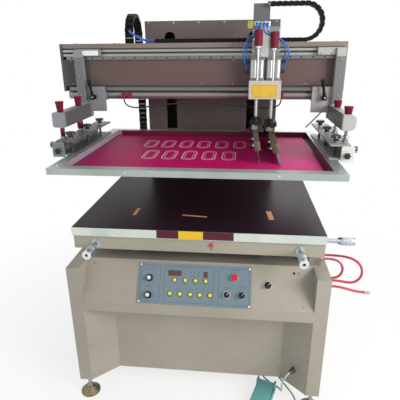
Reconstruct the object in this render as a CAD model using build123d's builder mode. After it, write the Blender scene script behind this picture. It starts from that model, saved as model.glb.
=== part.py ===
from build123d import *
import os
from math import cos, radians, sin, tan

# Frame: x to the right, y to the back, z up from the floor, millimetres
# Table
TABLE_WIDTH = 1000
TABLE_FRONT_Y = -470
TABLE_DEPTH = 700
TABLE_TOP_Z = 822
TABLE_BOARD = 37
SKIN_THICKNESS = 2
SKIN_MARGIN = 3
PLENUM_DEPTH = 8
PLENUM_RIM = 30
VACUUM_HOLE_RADIUS = 1.2
VACUUM_HOLE_PITCH = 80
UNDERFRAME_BOTTOM_Z = 727
UNDERFRAME_WALL = 18
UNDERFRAME_INSET_X = 3
UNDERFRAME_INSET_Y = 8
# Cross slide
SLIDE_FIT = 0.05
RAIL_WIDTH = 20
RAIL_HEIGHT = 15
RAIL_X = 280
RAIL_FRONT_Y = -340
RAIL_REAR_Y = 100
CROSS_PLATE_BOTTOM_Z = 688
CROSS_PLATE_TOP_Z = 700
CROSS_RAIL_Y = (-300, 60)
RUNNER_LENGTH = 60
RUNNER_WIDTH = 46
TRAVEL_CLEARANCE = 4
# Cabinet
CABINET_HALF = 523
LEG_WIDTH = 54
LEG_INNER = CABINET_HALF - LEG_WIDTH
LEG_FRONT_Y = -516
CABINET_REAR_Y = 570
LEG_BOTTOM_Z = 96
DECK_Z = 660
SHEET = 4
FASCIA_FOOT_Z = 511
FASCIA_HEAD_Y = -416
LIP_BOTTOM_Z = 464
SKIRT_HALF = 368
SKIRT_Y = -419
SKIRT_SHEET = 3
# Micrometers
MICROMETER_X = 404
MICROMETER_Z = 753
SIDE_MICROMETER_Y = -370
SIDE_MICROMETER_Z = 758
SLEEVE_RADIUS = 10
THIMBLE_RADIUS = 18.5
SHAFT_FIT = 0.05
# Column
COLUMN_HALF = 340
COLUMN_FRONT_Y = 310
COLUMN_TOP_Z = 1620
SLOT_X = 213
SLOT_WIDTH = 54
SLOT_TOP_Z = 1569
SLOT_BOTTOM_Z = 1080
GUIDE_X = 130
GUIDE_Y = 440
GUIDE_RADIUS = 15
# Beam
BEAM_LEFT_X = -672
BEAM_RIGHT_X = 606
CAP_THICKNESS = 12
BEAM_FRONT_Y = 10
BEAM_BOX_FRONT_Y = 30
BEAM_BOX_REAR_Y = 130
BEAM_BOTTOM_Z = 1303
BEAM_PLATE_Z = 1491
BEAM_TOP_Z = 1511
BEAM_WALL = 6
BAND_BOTTOM_Z = 1457
BAND_TOP_Z = 1485
BAND_FRONT_Y = 8
BAND_GROOVE_Z = 1471
BAND_GROOVE = 8
GUIDE_RAIL_FRONT_Y = 2
GUIDE_RAIL_WIDTH = 15
UPPER_RAIL_Z = 1449.5
LOWER_RAIL_Z = 1314.5
RAIL_HOLE_PITCH = 49
RAIL_HOLE_RADIUS = 3.2
COVER_BOTTOM_Z = 1330
COVER_TOP_Z = 1441.8
TUBE_Y = 30
TUBE_Z = 1286
TUBE_RADIUS = 19.5
# Carriage
CARRIAGE_X = 258
BOX_LEFT_X = 191
BOX_RIGHT_X = 326
BOX_FRONT_Y = -100
BOX_REAR_Y = -20
BOX_BOTTOM_Z = 1281
BOX_TOP_Z = 1357
BOX_SHEET = 3
ROD_Y = -88
PISTON_Y = -49
SQUEEGEE_ROD_X = 290
FLOOD_ROD_X = 225
CYLINDER_WIDTH = 62
CYLINDER_DEPTH = 50
CYLINDER_TOP_Z = 1447
CYLINDER_BORE = 20
PISTON_ROD_RADIUS = 7
LIFT_ROD_RADIUS = 5
KNOB_RADIUS = 16.5
KNOB_HEIGHT = 63
SQUEEGEE_KNOB_Z = 1486
FLOOD_RAISE = 9
# Squeegee
BLADE_FRONT_Y = -350
BLADE_LENGTH = 540
SQUEEGEE_LEAN = 20
FLOOD_LEAN = 10
PIVOT_Z = 1158
PIVOT_RADIUS = 4
BLADE_EDGE_Z = 1066
# Screen
SCREEN_HALF = 531
SCREEN_FRONT_Y = -546
SCREEN_DEPTH = 800
SCREEN_BOTTOM_Z = 1060
SCREEN_RAIL_WIDTH = 42
SCREEN_RAIL_HEIGHT = 24
MESH_THICKNESS = 0.5
# Side arms
CLAMP_OVERLAP = 31
CHANNEL_WIDTH = 75
CHANNEL_HEIGHT = 58
CHANNEL_LIFT = 1
CHANNEL_WALL = 6
CHANNEL_FRONT_Y = -350
CHANNEL_REAR_Y = 130
CHANNEL_INNER = SCREEN_HALF - CLAMP_OVERLAP
CHANNEL_OUTER = CHANNEL_INNER + CHANNEL_WIDTH
CHANNEL_BOTTOM_Z = SCREEN_BOTTOM_Z + SCREEN_RAIL_HEIGHT + CHANNEL_LIFT
CHANNEL_TOP_Z = CHANNEL_BOTTOM_Z + CHANNEL_HEIGHT
STAR_INSET = 6
STAR_X = SCREEN_HALF - STAR_INSET
STAR_Y = (-315, -128, 38)
SCREW_INSET = 12
HEIGHT_SCREW_X = CHANNEL_OUTER - SCREW_INSET
HEIGHT_SCREW_Y = (-300, -110)
HEIGHT_SCREW_RADIUS = 6
ARM_BAR_WIDTH = 49
ARM_BAR_HEIGHT = 60
ARM_BAR_INSET = 20
ARM_BAR_FRONT_Y = -320
CLAMP_GAP = 47
ARM_BAR_INNER = HEIGHT_SCREW_X - ARM_BAR_INSET
ARM_OUTER = ARM_BAR_INNER + ARM_BAR_WIDTH
ARM_BAR_BOTTOM_Z = CHANNEL_TOP_Z + CLAMP_GAP
ARM_BAR_TOP_Z = ARM_BAR_BOTTOM_Z + ARM_BAR_HEIGHT
LEVER_X = ARM_OUTER - 72
LEVER_Z = TUBE_Z - 6
# Cable chains
CHAIN_THICKNESS = 18
LIFT_CHAIN_X = -364
LIFT_CHAIN_WIDTH = 38
LIFT_CHAIN_FRONT_Y = 90
LIFT_CHAIN_REAR_Y = 267
LIFT_CHAIN_TOP_Z = 1636
LIFT_CHAIN_END_Z = 1000
CARRIAGE_CHAIN_Y = 50
CARRIAGE_CHAIN_WIDTH = 40
CARRIAGE_CHAIN_LEFT_X = -232
CARRIAGE_CHAIN_LOOP_X = 424.5
CARRIAGE_CHAIN_BRACKET_X = 274
# Controls
PLATE_THICKNESS = 3
KEY_RADIUS = 7
KEY_UPPER_ROW = (-89, -45, -3, 39)
KEY_LOWER_ROW = (-105, -64, -22, 17, 58)
KEY_UPPER_S = 102
KEY_LOWER_S = 47
CONTROL_FIT = 0.05
# Cords
BEND_SHARE = 0.45
HOSE_RADIUS = 5
AIR_TUBE_RADIUS = 3
CABLE_RADIUS = 3.5


def block(x0, x1, y0, y1, z0, z1, mode=Mode.ADD):
    """A box between two corners."""
    with Locations(((x0 + x1) / 2, (y0 + y1) / 2, (z0 + z1) / 2)):
        Box(x1 - x0, y1 - y0, z1 - z0, mode=mode)


def sided_block(side, x0, x1, y0, y1, z0, z1, mode=Mode.ADD):
    """A box on the left (side -1) or the right (side +1), x0 and x1 as distances from the middle."""
    block(min(side * x0, side * x1), max(side * x0, side * x1), y0, y1, z0, z1, mode)


def post(x, y, z0, z1, radius, mode=Mode.ADD):
    """A round post along z."""
    with Locations((x, y, (z0 + z1) / 2)):
        Cylinder(radius, z1 - z0, mode=mode)


def bar_x(x0, x1, y, z, radius, mode=Mode.ADD):
    """A round bar along x."""
    with Locations(((x0 + x1) / 2, y, z)):
        Cylinder(radius, x1 - x0, rotation=(0, 90, 0), mode=mode)


def bar_y(x, y0, y1, z, radius, mode=Mode.ADD):
    """A round bar along y."""
    with Locations((x, (y0 + y1) / 2, z)):
        Cylinder(radius, y1 - y0, rotation=(90, 0, 0), mode=mode)


def prism(plane, points, amount, mode=Mode.ADD):
    """A straight extrusion of a polygon drawn on a plane."""
    with BuildSketch(plane) as outline:
        with BuildLine():
            Polyline(*points, close=True)
        make_face()
    extrude(outline.sketch, amount=amount, mode=mode)


def local_bar(location, radius, start, end, mode=Mode.ADD):
    """A round bar along the z axis of a location."""
    with Locations(location * Location((0, 0, (start + end) / 2))):
        Cylinder(radius, end - start, mode=mode)


def local_block(location, width, depth, start, end, mode=Mode.ADD):
    """A box centred on the z axis of a location."""
    with Locations(location * Location((0, 0, (start + end) / 2))):
        Box(width, depth, end - start, mode=mode)


def bend_radii(points):
    """The radius of each bend: a share of the shorter run, divided by the tangent of half the turn."""
    corners = [Vector(*point) for point in points]
    radii = []
    for before, corner, after in zip(corners, corners[1:], corners[2:]):
        run_in = corner - before
        run_out = after - corner
        half_turn = radians(run_in.get_angle(run_out) / 2)
        radii.append(BEND_SHARE * min(run_in.length, run_out.length) / tan(half_turn))
    return radii


def cord(name, points, radius):
    """A tube of straight runs and tangent arcs through a route's points."""
    radii = bend_radii(points)
    with BuildLine() as route:
        FilletPolyline(*points, radius=radii)
    path = route.wire()
    with BuildSketch(Plane(origin=path @ 0, z_dir=path % 0)) as section:
        Circle(radius)
    sweep(section.sketch, path=path)
    print(name, "smallest bend", round(min(radii), 1), "length", round(path.length, 1))


def star_knob(location, radius, height):
    """A lobed clamping knob standing on a location."""
    local_bar(location, radius * 0.5, 0, height * 0.5)
    local_bar(location, radius * 0.86, height * 0.5, height)
    for lobe in range(6):
        turned = location * Location((0, 0, 0), (0, 0, lobe * 60)) * Location((radius * 0.78, 0, 0))
        local_bar(turned, radius * 0.25, height * 0.5, height)


# Cabinet
fascia_origin = Vector(0, LEG_FRONT_Y, FASCIA_FOOT_Z)
fascia_slope = Vector(0, FASCIA_HEAD_Y - LEG_FRONT_Y, DECK_Z - FASCIA_FOOT_Z)
fascia_up = fascia_slope.normalized()
fascia_plane = Plane(origin=fascia_origin, x_dir=(1, 0, 0), z_dir=(0, -fascia_up.Z, fascia_up.Y))


def on_fascia(x, s, height=0):
    """A place on the sloping fascia: across, up the slope and out of it."""
    return fascia_plane.location * Location((x, s, height))


FRONT_WALL_Y = SKIRT_Y + SKIRT_SHEET
CAVITY_FRONT_Y = FRONT_WALL_Y + SHEET
body_outline = [
    (LEG_FRONT_Y, LIP_BOTTOM_Z),
    (LEG_FRONT_Y, FASCIA_FOOT_Z),
    (FASCIA_HEAD_Y, DECK_Z),
    (CABINET_REAR_Y, DECK_Z),
    (CABINET_REAR_Y, LEG_BOTTOM_Z),
    (FRONT_WALL_Y, LEG_BOTTOM_Z),
    (FRONT_WALL_Y, LIP_BOTTOM_Z),
]
cavity_outline = [
    (LEG_FRONT_Y + SHEET, LIP_BOTTOM_Z + SHEET),
    (LEG_FRONT_Y + SHEET, FASCIA_FOOT_Z - 1.5),
    (FASCIA_HEAD_Y + 2.2, DECK_Z - SHEET),
    (CABINET_REAR_Y - SHEET, DECK_Z - SHEET),
    (CABINET_REAR_Y - SHEET, LEG_BOTTOM_Z + SHEET),
    (CAVITY_FRONT_Y, LEG_BOTTOM_Z + SHEET),
    (CAVITY_FRONT_Y, LIP_BOTTOM_Z + SHEET),
]
panel_run = Vector(SKIRT_HALF - LEG_INNER, SKIRT_Y - LEG_FRONT_Y, 0)
panel_normal = Vector(-panel_run.Y, panel_run.X, 0).normalized()
GLAND_SHARE = 0.485
GLAND_Z = 190
gland_foot = Vector(LEG_INNER, LEG_FRONT_Y, GLAND_Z) + panel_run * GLAND_SHARE
gland_plane = Plane(origin=gland_foot, z_dir=panel_normal)
GLAND_LENGTH = 30
GLAND_RADIUS = 8
VENT_LENGTH = 220
VENT_HEIGHT = 8
VENT_PITCH = 24
HOSE_BLOCK_WIDTH = 58
HOSE_BLOCK_RIGHT_X = CABINET_HALF - 15
HOSE_START = Vector(HOSE_BLOCK_RIGHT_X, -366, 690)
HOSE_LOWER_START = Vector(HOSE_BLOCK_RIGHT_X, -386, 684)
PORT_REACH = 16
PORT_UPPER = Vector(CABINET_HALF + PORT_REACH, -432, 612)
PORT_LOWER = Vector(CABINET_HALF + PORT_REACH, -404, 606)
PORT_TAIL = Vector(CABINET_HALF + PORT_REACH, -440, 590)
POWER_SELECTOR = (288, 98)
SELECTOR_SHAFT = 5
FOOT_X = CABINET_HALF - LEG_WIDTH / 2
FOOT_FRONT_Y = -481
FOOT_REAR_Y = 535
FOOT_STEM = 8
with BuildPart() as cabinet:
    prism(Plane.YZ.offset(-CABINET_HALF), body_outline, 2 * CABINET_HALF)
    for side in (-1, 1):
        sided_block(side, LEG_INNER, CABINET_HALF, LEG_FRONT_Y, CAVITY_FRONT_Y, LEG_BOTTOM_Z, DECK_Z)
    prism(Plane.YZ.offset(-CABINET_HALF + SHEET), cavity_outline, 2 * (CABINET_HALF - SHEET), Mode.SUBTRACT)
    for side in (-1, 1):
        sided_block(
            side, LEG_INNER + SHEET, CABINET_HALF - SHEET, LEG_FRONT_Y + SHEET, CAVITY_FRONT_Y,
            LEG_BOTTOM_Z + SHEET, DECK_Z - SHEET, Mode.SUBTRACT
        )
        panel = [
            (side * LEG_INNER, LEG_FRONT_Y),
            (side * LEG_INNER, LEG_FRONT_Y + SKIRT_SHEET + 1),
            (side * SKIRT_HALF, FRONT_WALL_Y),
            (side * SKIRT_HALF, SKIRT_Y),
        ]
        prism(Plane.XY.offset(LEG_BOTTOM_Z), panel, LIP_BOTTOM_Z - LEG_BOTTOM_Z)
        post(side * FOOT_X, FOOT_FRONT_Y, LEG_BOTTOM_Z, LEG_BOTTOM_Z + SHEET + 1, FOOT_STEM, Mode.SUBTRACT)
        post(side * FOOT_X, FOOT_REAR_Y, LEG_BOTTOM_Z, LEG_BOTTOM_Z + SHEET + 1, FOOT_STEM, Mode.SUBTRACT)
        # Rails that carry the cross slide
        sided_block(
            side, RAIL_X - RAIL_WIDTH / 2, RAIL_X + RAIL_WIDTH / 2,
            RAIL_FRONT_Y, RAIL_REAR_Y, DECK_Z, DECK_Z + RAIL_HEIGHT
        )
    block(-SKIRT_HALF, SKIRT_HALF, SKIRT_Y, FRONT_WALL_Y, LEG_BOTTOM_Z, LIP_BOTTOM_Z)
    # Vents in the rear wall
    for row in range(6):
        vent_z = 300 + row * VENT_PITCH
        block(
            -VENT_LENGTH / 2, VENT_LENGTH / 2, CABINET_REAR_Y - SHEET - 1, CABINET_REAR_Y + 1,
            vent_z, vent_z + VENT_HEIGHT, Mode.SUBTRACT
        )
    # Openings behind the controls
    block_width = 420
    with Locations(on_fascia(-15, 85)):
        Box(block_width, 128, 24, mode=Mode.SUBTRACT)
    local_bar(on_fascia(*POWER_SELECTOR), SELECTOR_SHAFT + CONTROL_FIT, -10, 1, Mode.SUBTRACT)
    # Cable gland
    local_bar(gland_plane.location, GLAND_RADIUS + 4, -1, 5)
    local_bar(gland_plane.location, GLAND_RADIUS, 5, GLAND_LENGTH)
    # Hose manifold on the deck and ports on the side
    block(
        HOSE_BLOCK_RIGHT_X - HOSE_BLOCK_WIDTH, HOSE_BLOCK_RIGHT_X - 10, HOSE_START.Y - 38, HOSE_START.Y + 16,
        DECK_Z, HOSE_START.Z + 14
    )
    bar_x(HOSE_BLOCK_RIGHT_X - 10, HOSE_BLOCK_RIGHT_X, HOSE_START.Y, HOSE_START.Z, 7)
    bar_x(HOSE_BLOCK_RIGHT_X - 10, HOSE_BLOCK_RIGHT_X, HOSE_LOWER_START.Y, HOSE_LOWER_START.Z, 7)
    for port in (PORT_UPPER, PORT_LOWER, PORT_TAIL):
        bar_x(CABINET_HALF - 1, port.X, port.Y, port.Z, 7)
    post(0, -120, DECK_Z - SHEET - 1, DECK_Z + 1, 30, Mode.SUBTRACT)

# Control plate
DISPLAY_RAISE = 1.2
PLATE_LEFT_X = -240
PLATE_RIGHT_X = 223
PLATE_LOW_S = 3
PLATE_HIGH_S = 167
speed_knob_places = ((-193, 106), (-194, 37))
STOP_PLACE = (155, 122)
MODE_PLACE = (125, 52)
VACUUM_PLACE = (186, 53)
STOP_RADIUS = 11
BEZEL_RADIUS = 15
BEZEL_HEIGHT = 5
key_places = [(x, KEY_UPPER_S) for x in KEY_UPPER_ROW] + [(x, KEY_LOWER_S) for x in KEY_LOWER_ROW]
with BuildPart() as control_plate:
    plate_centre = on_fascia((PLATE_LEFT_X + PLATE_RIGHT_X) / 2, (PLATE_LOW_S + PLATE_HIGH_S) / 2)
    local_block(plate_centre, PLATE_RIGHT_X - PLATE_LEFT_X, PLATE_HIGH_S - PLATE_LOW_S, 0, PLATE_THICKNESS)
    local_block(on_fascia(-89.5, 129.5), 53, 21, PLATE_THICKNESS, PLATE_THICKNESS + DISPLAY_RAISE)
    local_block(on_fascia(37.5, 128), 15, 22, PLATE_THICKNESS, PLATE_THICKNESS + DISPLAY_RAISE)
    for corner_x in (PLATE_LEFT_X + 8, PLATE_RIGHT_X - 8):
        for corner_s in (PLATE_LOW_S + 8, PLATE_HIGH_S - 8):
            local_bar(on_fascia(corner_x, corner_s), 4, PLATE_THICKNESS, PLATE_THICKNESS + 2)
    for place in (STOP_PLACE, VACUUM_PLACE):
        local_bar(on_fascia(*place), BEZEL_RADIUS, PLATE_THICKNESS, PLATE_THICKNESS + BEZEL_HEIGHT)
    local_bar(on_fascia(*STOP_PLACE), STOP_RADIUS + CONTROL_FIT, -1, 20, Mode.SUBTRACT)
    for place in key_places:
        local_bar(on_fascia(*place), KEY_RADIUS + CONTROL_FIT, -1, 20, Mode.SUBTRACT)
    for place in speed_knob_places + (MODE_PLACE, VACUUM_PLACE):
        local_bar(on_fascia(*place), SELECTOR_SHAFT + CONTROL_FIT, -1, 20, Mode.SUBTRACT)

# Keys and buttons
KEY_BACK = -8
KEY_PROUD = 9
BUTTON_NECK = PLATE_THICKNESS + BEZEL_HEIGHT + 4
fascia_axis = Axis(fascia_origin, fascia_plane.z_dir)
keys = []
for place in key_places:
    with BuildPart() as key:
        local_bar(on_fascia(*place), KEY_RADIUS, KEY_BACK, KEY_PROUD)
        chamfer(key.edges().filter_by(GeomType.CIRCLE).sort_by(fascia_axis)[-1], 1)
    keys.append(key)
with BuildPart() as stop_button:
    local_bar(on_fascia(*STOP_PLACE), STOP_RADIUS, KEY_BACK, BUTTON_NECK)
    local_bar(on_fascia(*STOP_PLACE), STOP_RADIUS + 2, BUTTON_NECK, BUTTON_NECK + 9)
    fillet(stop_button.edges().filter_by(GeomType.CIRCLE).sort_by(fascia_axis)[-1], 3)

# Turning knobs and selectors
KNOB_GAP = 0.3
speed_knobs = []
for place in speed_knob_places:
    with BuildPart() as speed_knob:
        local_bar(on_fascia(*place), SELECTOR_SHAFT, KEY_BACK, PLATE_THICKNESS + KNOB_GAP)
        local_bar(on_fascia(*place), 14, PLATE_THICKNESS + KNOB_GAP, PLATE_THICKNESS + 5)
        local_bar(on_fascia(*place), 9.5, PLATE_THICKNESS + 5, PLATE_THICKNESS + 20)
    speed_knobs.append(speed_knob)
selectors = []
selector_places = ((MODE_PLACE, PLATE_THICKNESS, 12), (VACUUM_PLACE, PLATE_THICKNESS + BEZEL_HEIGHT, 12.5),
                   (POWER_SELECTOR, 0, 14.5))
for place, seat, radius in selector_places:
    with BuildPart() as selector:
        local_bar(on_fascia(*place), SELECTOR_SHAFT, KEY_BACK, seat + KNOB_GAP)
        local_bar(on_fascia(*place), radius, seat + KNOB_GAP, seat + 7)
        grip = on_fascia(*place) * Location((0, 0, 0), (0, 0, 45))
        local_block(grip, 2 * radius - 2, 7, seat + 6, seat + 18)
    selectors.append(selector)

# Levelling feet
PAD_RADIUS = 42.5
PAD_HEIGHT = 30
with BuildPart() as levelling_feet:
    for foot_x in (-FOOT_X, FOOT_X):
        for foot_y in (FOOT_FRONT_Y, FOOT_REAR_Y):
            post(foot_x, foot_y, 0, 8, PAD_RADIUS)
            with Locations((foot_x, foot_y, 8)):
                Cone(
                    PAD_RADIUS, 16, PAD_HEIGHT - 8, align=(Align.CENTER, Align.CENTER, Align.MIN)
                )
            post(foot_x, foot_y, PAD_HEIGHT, LEG_BOTTOM_Z + 40, FOOT_STEM - SHAFT_FIT)
            post(foot_x, foot_y, PAD_HEIGHT, PAD_HEIGHT + 12, 13)
            post(foot_x, foot_y, LEG_BOTTOM_Z - 10, LEG_BOTTOM_Z, 14)

# Column
COLUMN_REAR_Y = CABINET_REAR_Y
with BuildPart() as column:
    block(-COLUMN_HALF, COLUMN_HALF, COLUMN_FRONT_Y, COLUMN_REAR_Y, DECK_Z, COLUMN_TOP_Z)
    block(
        -COLUMN_HALF + SHEET, COLUMN_HALF - SHEET, COLUMN_FRONT_Y + SHEET, COLUMN_REAR_Y - SHEET,
        DECK_Z, COLUMN_TOP_Z - SHEET, Mode.SUBTRACT
    )
    for side in (-1, 1):
        sided_block(
            side, SLOT_X - SLOT_WIDTH / 2, SLOT_X + SLOT_WIDTH / 2, COLUMN_FRONT_Y - 1, COLUMN_FRONT_Y + SHEET + 1,
            SLOT_BOTTOM_Z, SLOT_TOP_Z - SLOT_WIDTH / 2, Mode.SUBTRACT
        )
        bar_y(
            side * SLOT_X, COLUMN_FRONT_Y - 1, COLUMN_FRONT_Y + SHEET + 1,
            SLOT_TOP_Z - SLOT_WIDTH / 2, SLOT_WIDTH / 2, Mode.SUBTRACT
        )
    for step in range(6):
        bar_y(-320 + 128 * step, COLUMN_FRONT_Y - 2, COLUMN_FRONT_Y, COLUMN_TOP_Z - 9, 4)
    # Holder of the upright cable chain's fixed end
    chain_inner_x = LIFT_CHAIN_X + LIFT_CHAIN_WIDTH / 2
    block(
        chain_inner_x + 1, -COLUMN_HALF, LIFT_CHAIN_REAR_Y - CHAIN_THICKNESS / 2, COLUMN_FRONT_Y + 90,
        LIFT_CHAIN_END_Z - 60, LIFT_CHAIN_END_Z
    )
    block(
        LIFT_CHAIN_X - LIFT_CHAIN_WIDTH / 2, -COLUMN_HALF, LIFT_CHAIN_REAR_Y - CHAIN_THICKNESS / 2,
        LIFT_CHAIN_REAR_Y + 12, LIFT_CHAIN_END_Z - 8, LIFT_CHAIN_END_Z
    )

# Lift guides and cylinder inside the column
GUIDE_BOTTOM_Z = 690
GUIDE_TOP_Z = 1600
LIFT_CYLINDER_RADIUS = 32
LIFT_CYLINDER_BORE = 25
LIFT_CYLINDER_TOP_Z = 1060
LIFT_ROD_BOTTOM_Z = 960
LIFT_PISTON_ROD = 10
with BuildPart() as lift_guides:
    for bracket_z in (GUIDE_BOTTOM_Z, GUIDE_TOP_Z - 20):
        block(
            -GUIDE_X - 30, GUIDE_X + 30, GUIDE_Y - 30, COLUMN_REAR_Y - SHEET,
            bracket_z, bracket_z + 20
        )
    for side in (-1, 1):
        post(side * GUIDE_X, GUIDE_Y, GUIDE_BOTTOM_Z, GUIDE_TOP_Z, GUIDE_RADIUS)
    post(0, GUIDE_Y, GUIDE_BOTTOM_Z, LIFT_CYLINDER_TOP_Z, LIFT_CYLINDER_RADIUS)
    post(0, GUIDE_Y, GUIDE_BOTTOM_Z + 20, LIFT_CYLINDER_TOP_Z - 15, LIFT_CYLINDER_BORE, Mode.SUBTRACT)
    post(
        0, GUIDE_Y, LIFT_CYLINDER_TOP_Z - 16, LIFT_CYLINDER_TOP_Z + 1,
        LIFT_PISTON_ROD + SHAFT_FIT, Mode.SUBTRACT
    )

# Vacuum blower inside the cabinet
with BuildPart() as vacuum_blower:
    block(-160, 160, -60, 260, LEG_BOTTOM_Z + SHEET, LEG_BOTTOM_Z + 20)
    bar_x(-60, 60, 100, 260, 115)
    bar_x(60, 230, 100, 260, 75)
    block(-60, 60, 20, 180, LEG_BOTTOM_Z + 20, 180)
    block(150, 160, 40, 160, LEG_BOTTOM_Z + 20, 200)
    post(0, -120, 200, DECK_Z - SHEET, 29)
    block(-29, 29, -149, 60, 200, 258)

# Air preparation unit on the cabinet's right side
UNIT_Y = 470
UNIT_LENGTH = 110
UNIT_HEAD_Z = 395
UNIT_HEAD = 30
UNIT_BOWL_RADIUS = 21
UNIT_BOWL = 95
UNIT_BOWL_INSET = 27
UNIT_LEFT_X = CABINET_HALF + 22
UNIT_RIGHT_X = UNIT_LEFT_X + UNIT_LENGTH
UNIT_BOWLS_X = (UNIT_LEFT_X + UNIT_BOWL_INSET, UNIT_RIGHT_X - UNIT_BOWL_INSET)
UNIT_TOP_Z = UNIT_HEAD_Z + UNIT_HEAD
with BuildPart() as air_unit:
    block(CABINET_HALF, CABINET_HALF + 5, UNIT_Y - 35, UNIT_Y + 35, UNIT_HEAD_Z - 15, UNIT_TOP_Z + 25)
    block(CABINET_HALF + 5, UNIT_RIGHT_X, UNIT_Y - 5, UNIT_Y + 5, UNIT_TOP_Z, UNIT_TOP_Z + 6)
    block(UNIT_LEFT_X, UNIT_RIGHT_X, UNIT_Y - 20, UNIT_Y + 20, UNIT_HEAD_Z, UNIT_TOP_Z)
    for bowl_x in UNIT_BOWLS_X:
        post(bowl_x, UNIT_Y, UNIT_HEAD_Z - UNIT_BOWL, UNIT_HEAD_Z, UNIT_BOWL_RADIUS)
    post(UNIT_BOWLS_X[0], UNIT_Y, UNIT_HEAD_Z - UNIT_BOWL - 12, UNIT_HEAD_Z - UNIT_BOWL, 6)
    post(UNIT_BOWLS_X[1], UNIT_Y, UNIT_TOP_Z, UNIT_TOP_Z + 37, 17)
    bar_y((UNIT_LEFT_X + UNIT_RIGHT_X) / 2, UNIT_Y - 34, UNIT_Y - 20, UNIT_HEAD_Z + UNIT_HEAD / 2, 17)

# Cross slide between the cabinet and the table
with BuildPart() as cross_slide:
    block(
        -RAIL_X - 60, RAIL_X + 60, RAIL_FRONT_Y - 20, RAIL_REAR_Y + 20,
        CROSS_PLATE_BOTTOM_Z, CROSS_PLATE_TOP_Z
    )
    block(-120, 120, -220, -20, CROSS_PLATE_BOTTOM_Z, CROSS_PLATE_TOP_Z, Mode.SUBTRACT)
    for rail_y in CROSS_RAIL_Y:
        block(
            -RAIL_X - 20, RAIL_X + 20, rail_y - RAIL_WIDTH / 2, rail_y + RAIL_WIDTH / 2,
            CROSS_PLATE_TOP_Z, CROSS_PLATE_TOP_Z + RAIL_HEIGHT
        )
        for side in (-1, 1):
            runner_y = rail_y + 10 if rail_y < 0 else rail_y - 10
            sided_block(
                side, RAIL_X - RUNNER_WIDTH / 2, RAIL_X + RUNNER_WIDTH / 2,
                runner_y - RUNNER_LENGTH / 2, runner_y + RUNNER_LENGTH / 2,
                DECK_Z + TRAVEL_CLEARANCE, CROSS_PLATE_BOTTOM_Z
            )
            sided_block(
                side, RAIL_X - RAIL_WIDTH / 2 - SLIDE_FIT, RAIL_X + RAIL_WIDTH / 2 + SLIDE_FIT,
                runner_y - RUNNER_LENGTH / 2, runner_y + RUNNER_LENGTH / 2,
                DECK_Z, DECK_Z + RAIL_HEIGHT + SLIDE_FIT, Mode.SUBTRACT
            )

# Table underframe
UNDERFRAME_HALF = TABLE_WIDTH / 2 - UNDERFRAME_INSET_X
UNDERFRAME_FRONT_Y = TABLE_FRONT_Y + UNDERFRAME_INSET_Y
UNDERFRAME_REAR_Y = TABLE_FRONT_Y + TABLE_DEPTH - UNDERFRAME_INSET_Y
BOARD_BOTTOM_Z = TABLE_TOP_Z - TABLE_BOARD
TABLE_RUNNER_X = 240
CROSS_BAR_HALF = 32
FLANGE_RADIUS = 18
FLANGE_THICKNESS = 4
SLEEVE_LENGTH = 98
THIMBLE_NEAR = 44
THIMBLE_LENGTH = 69
THIMBLE_CONE = 18
THIMBLE_NECK_RADIUS = 12
SIDE_REACH = 20
with BuildPart() as table_frame:
    block(
        -UNDERFRAME_HALF, UNDERFRAME_HALF, UNDERFRAME_FRONT_Y, UNDERFRAME_REAR_Y,
        UNDERFRAME_BOTTOM_Z, BOARD_BOTTOM_Z
    )
    block(
        -UNDERFRAME_HALF + UNDERFRAME_WALL, UNDERFRAME_HALF - UNDERFRAME_WALL,
        UNDERFRAME_FRONT_Y + UNDERFRAME_WALL, UNDERFRAME_REAR_Y - UNDERFRAME_WALL,
        UNDERFRAME_BOTTOM_Z, BOARD_BOTTOM_Z, Mode.SUBTRACT
    )
    for rail_y in CROSS_RAIL_Y:
        block(
            -UNDERFRAME_HALF + UNDERFRAME_WALL, UNDERFRAME_HALF - UNDERFRAME_WALL,
            rail_y - CROSS_BAR_HALF, rail_y + CROSS_BAR_HALF, UNDERFRAME_BOTTOM_Z, BOARD_BOTTOM_Z
        )
        for side in (-1, 1):
            sided_block(
                side, TABLE_RUNNER_X - RUNNER_LENGTH / 2, TABLE_RUNNER_X + RUNNER_LENGTH / 2,
                rail_y - RUNNER_WIDTH / 2, rail_y + RUNNER_WIDTH / 2,
                CROSS_PLATE_TOP_Z + TRAVEL_CLEARANCE, UNDERFRAME_BOTTOM_Z
            )
            sided_block(
                side, TABLE_RUNNER_X - RUNNER_LENGTH / 2, TABLE_RUNNER_X + RUNNER_LENGTH / 2,
                rail_y - RAIL_WIDTH / 2 - SLIDE_FIT, rail_y + RAIL_WIDTH / 2 + SLIDE_FIT,
                CROSS_PLATE_TOP_Z, CROSS_PLATE_TOP_Z + RAIL_HEIGHT + SLIDE_FIT, Mode.SUBTRACT
            )
    for side in (-1, 1):
        sleeve_x = side * MICROMETER_X
        bar_y(
            sleeve_x, UNDERFRAME_FRONT_Y - FLANGE_THICKNESS, UNDERFRAME_FRONT_Y,
            MICROMETER_Z, FLANGE_RADIUS
        )
        bar_y(sleeve_x, UNDERFRAME_FRONT_Y - SLEEVE_LENGTH, UNDERFRAME_FRONT_Y, MICROMETER_Z, SLEEVE_RADIUS)
        for screw_x in (-13, 13):
            bar_y(
                sleeve_x + screw_x, UNDERFRAME_FRONT_Y - FLANGE_THICKNESS - 2.5,
                UNDERFRAME_FRONT_Y, MICROMETER_Z, 2.5
            )
    bar_x(
        UNDERFRAME_HALF, UNDERFRAME_HALF + FLANGE_THICKNESS,
        SIDE_MICROMETER_Y, SIDE_MICROMETER_Z, FLANGE_RADIUS
    )
    bar_x(
        UNDERFRAME_HALF, UNDERFRAME_HALF + SIDE_REACH + SLEEVE_LENGTH,
        SIDE_MICROMETER_Y, SIDE_MICROMETER_Z, SLEEVE_RADIUS
    )
    # Small red level marker on the front
    bar_y(62, UNDERFRAME_FRONT_Y - 6, UNDERFRAME_FRONT_Y, 762, 8)

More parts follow.
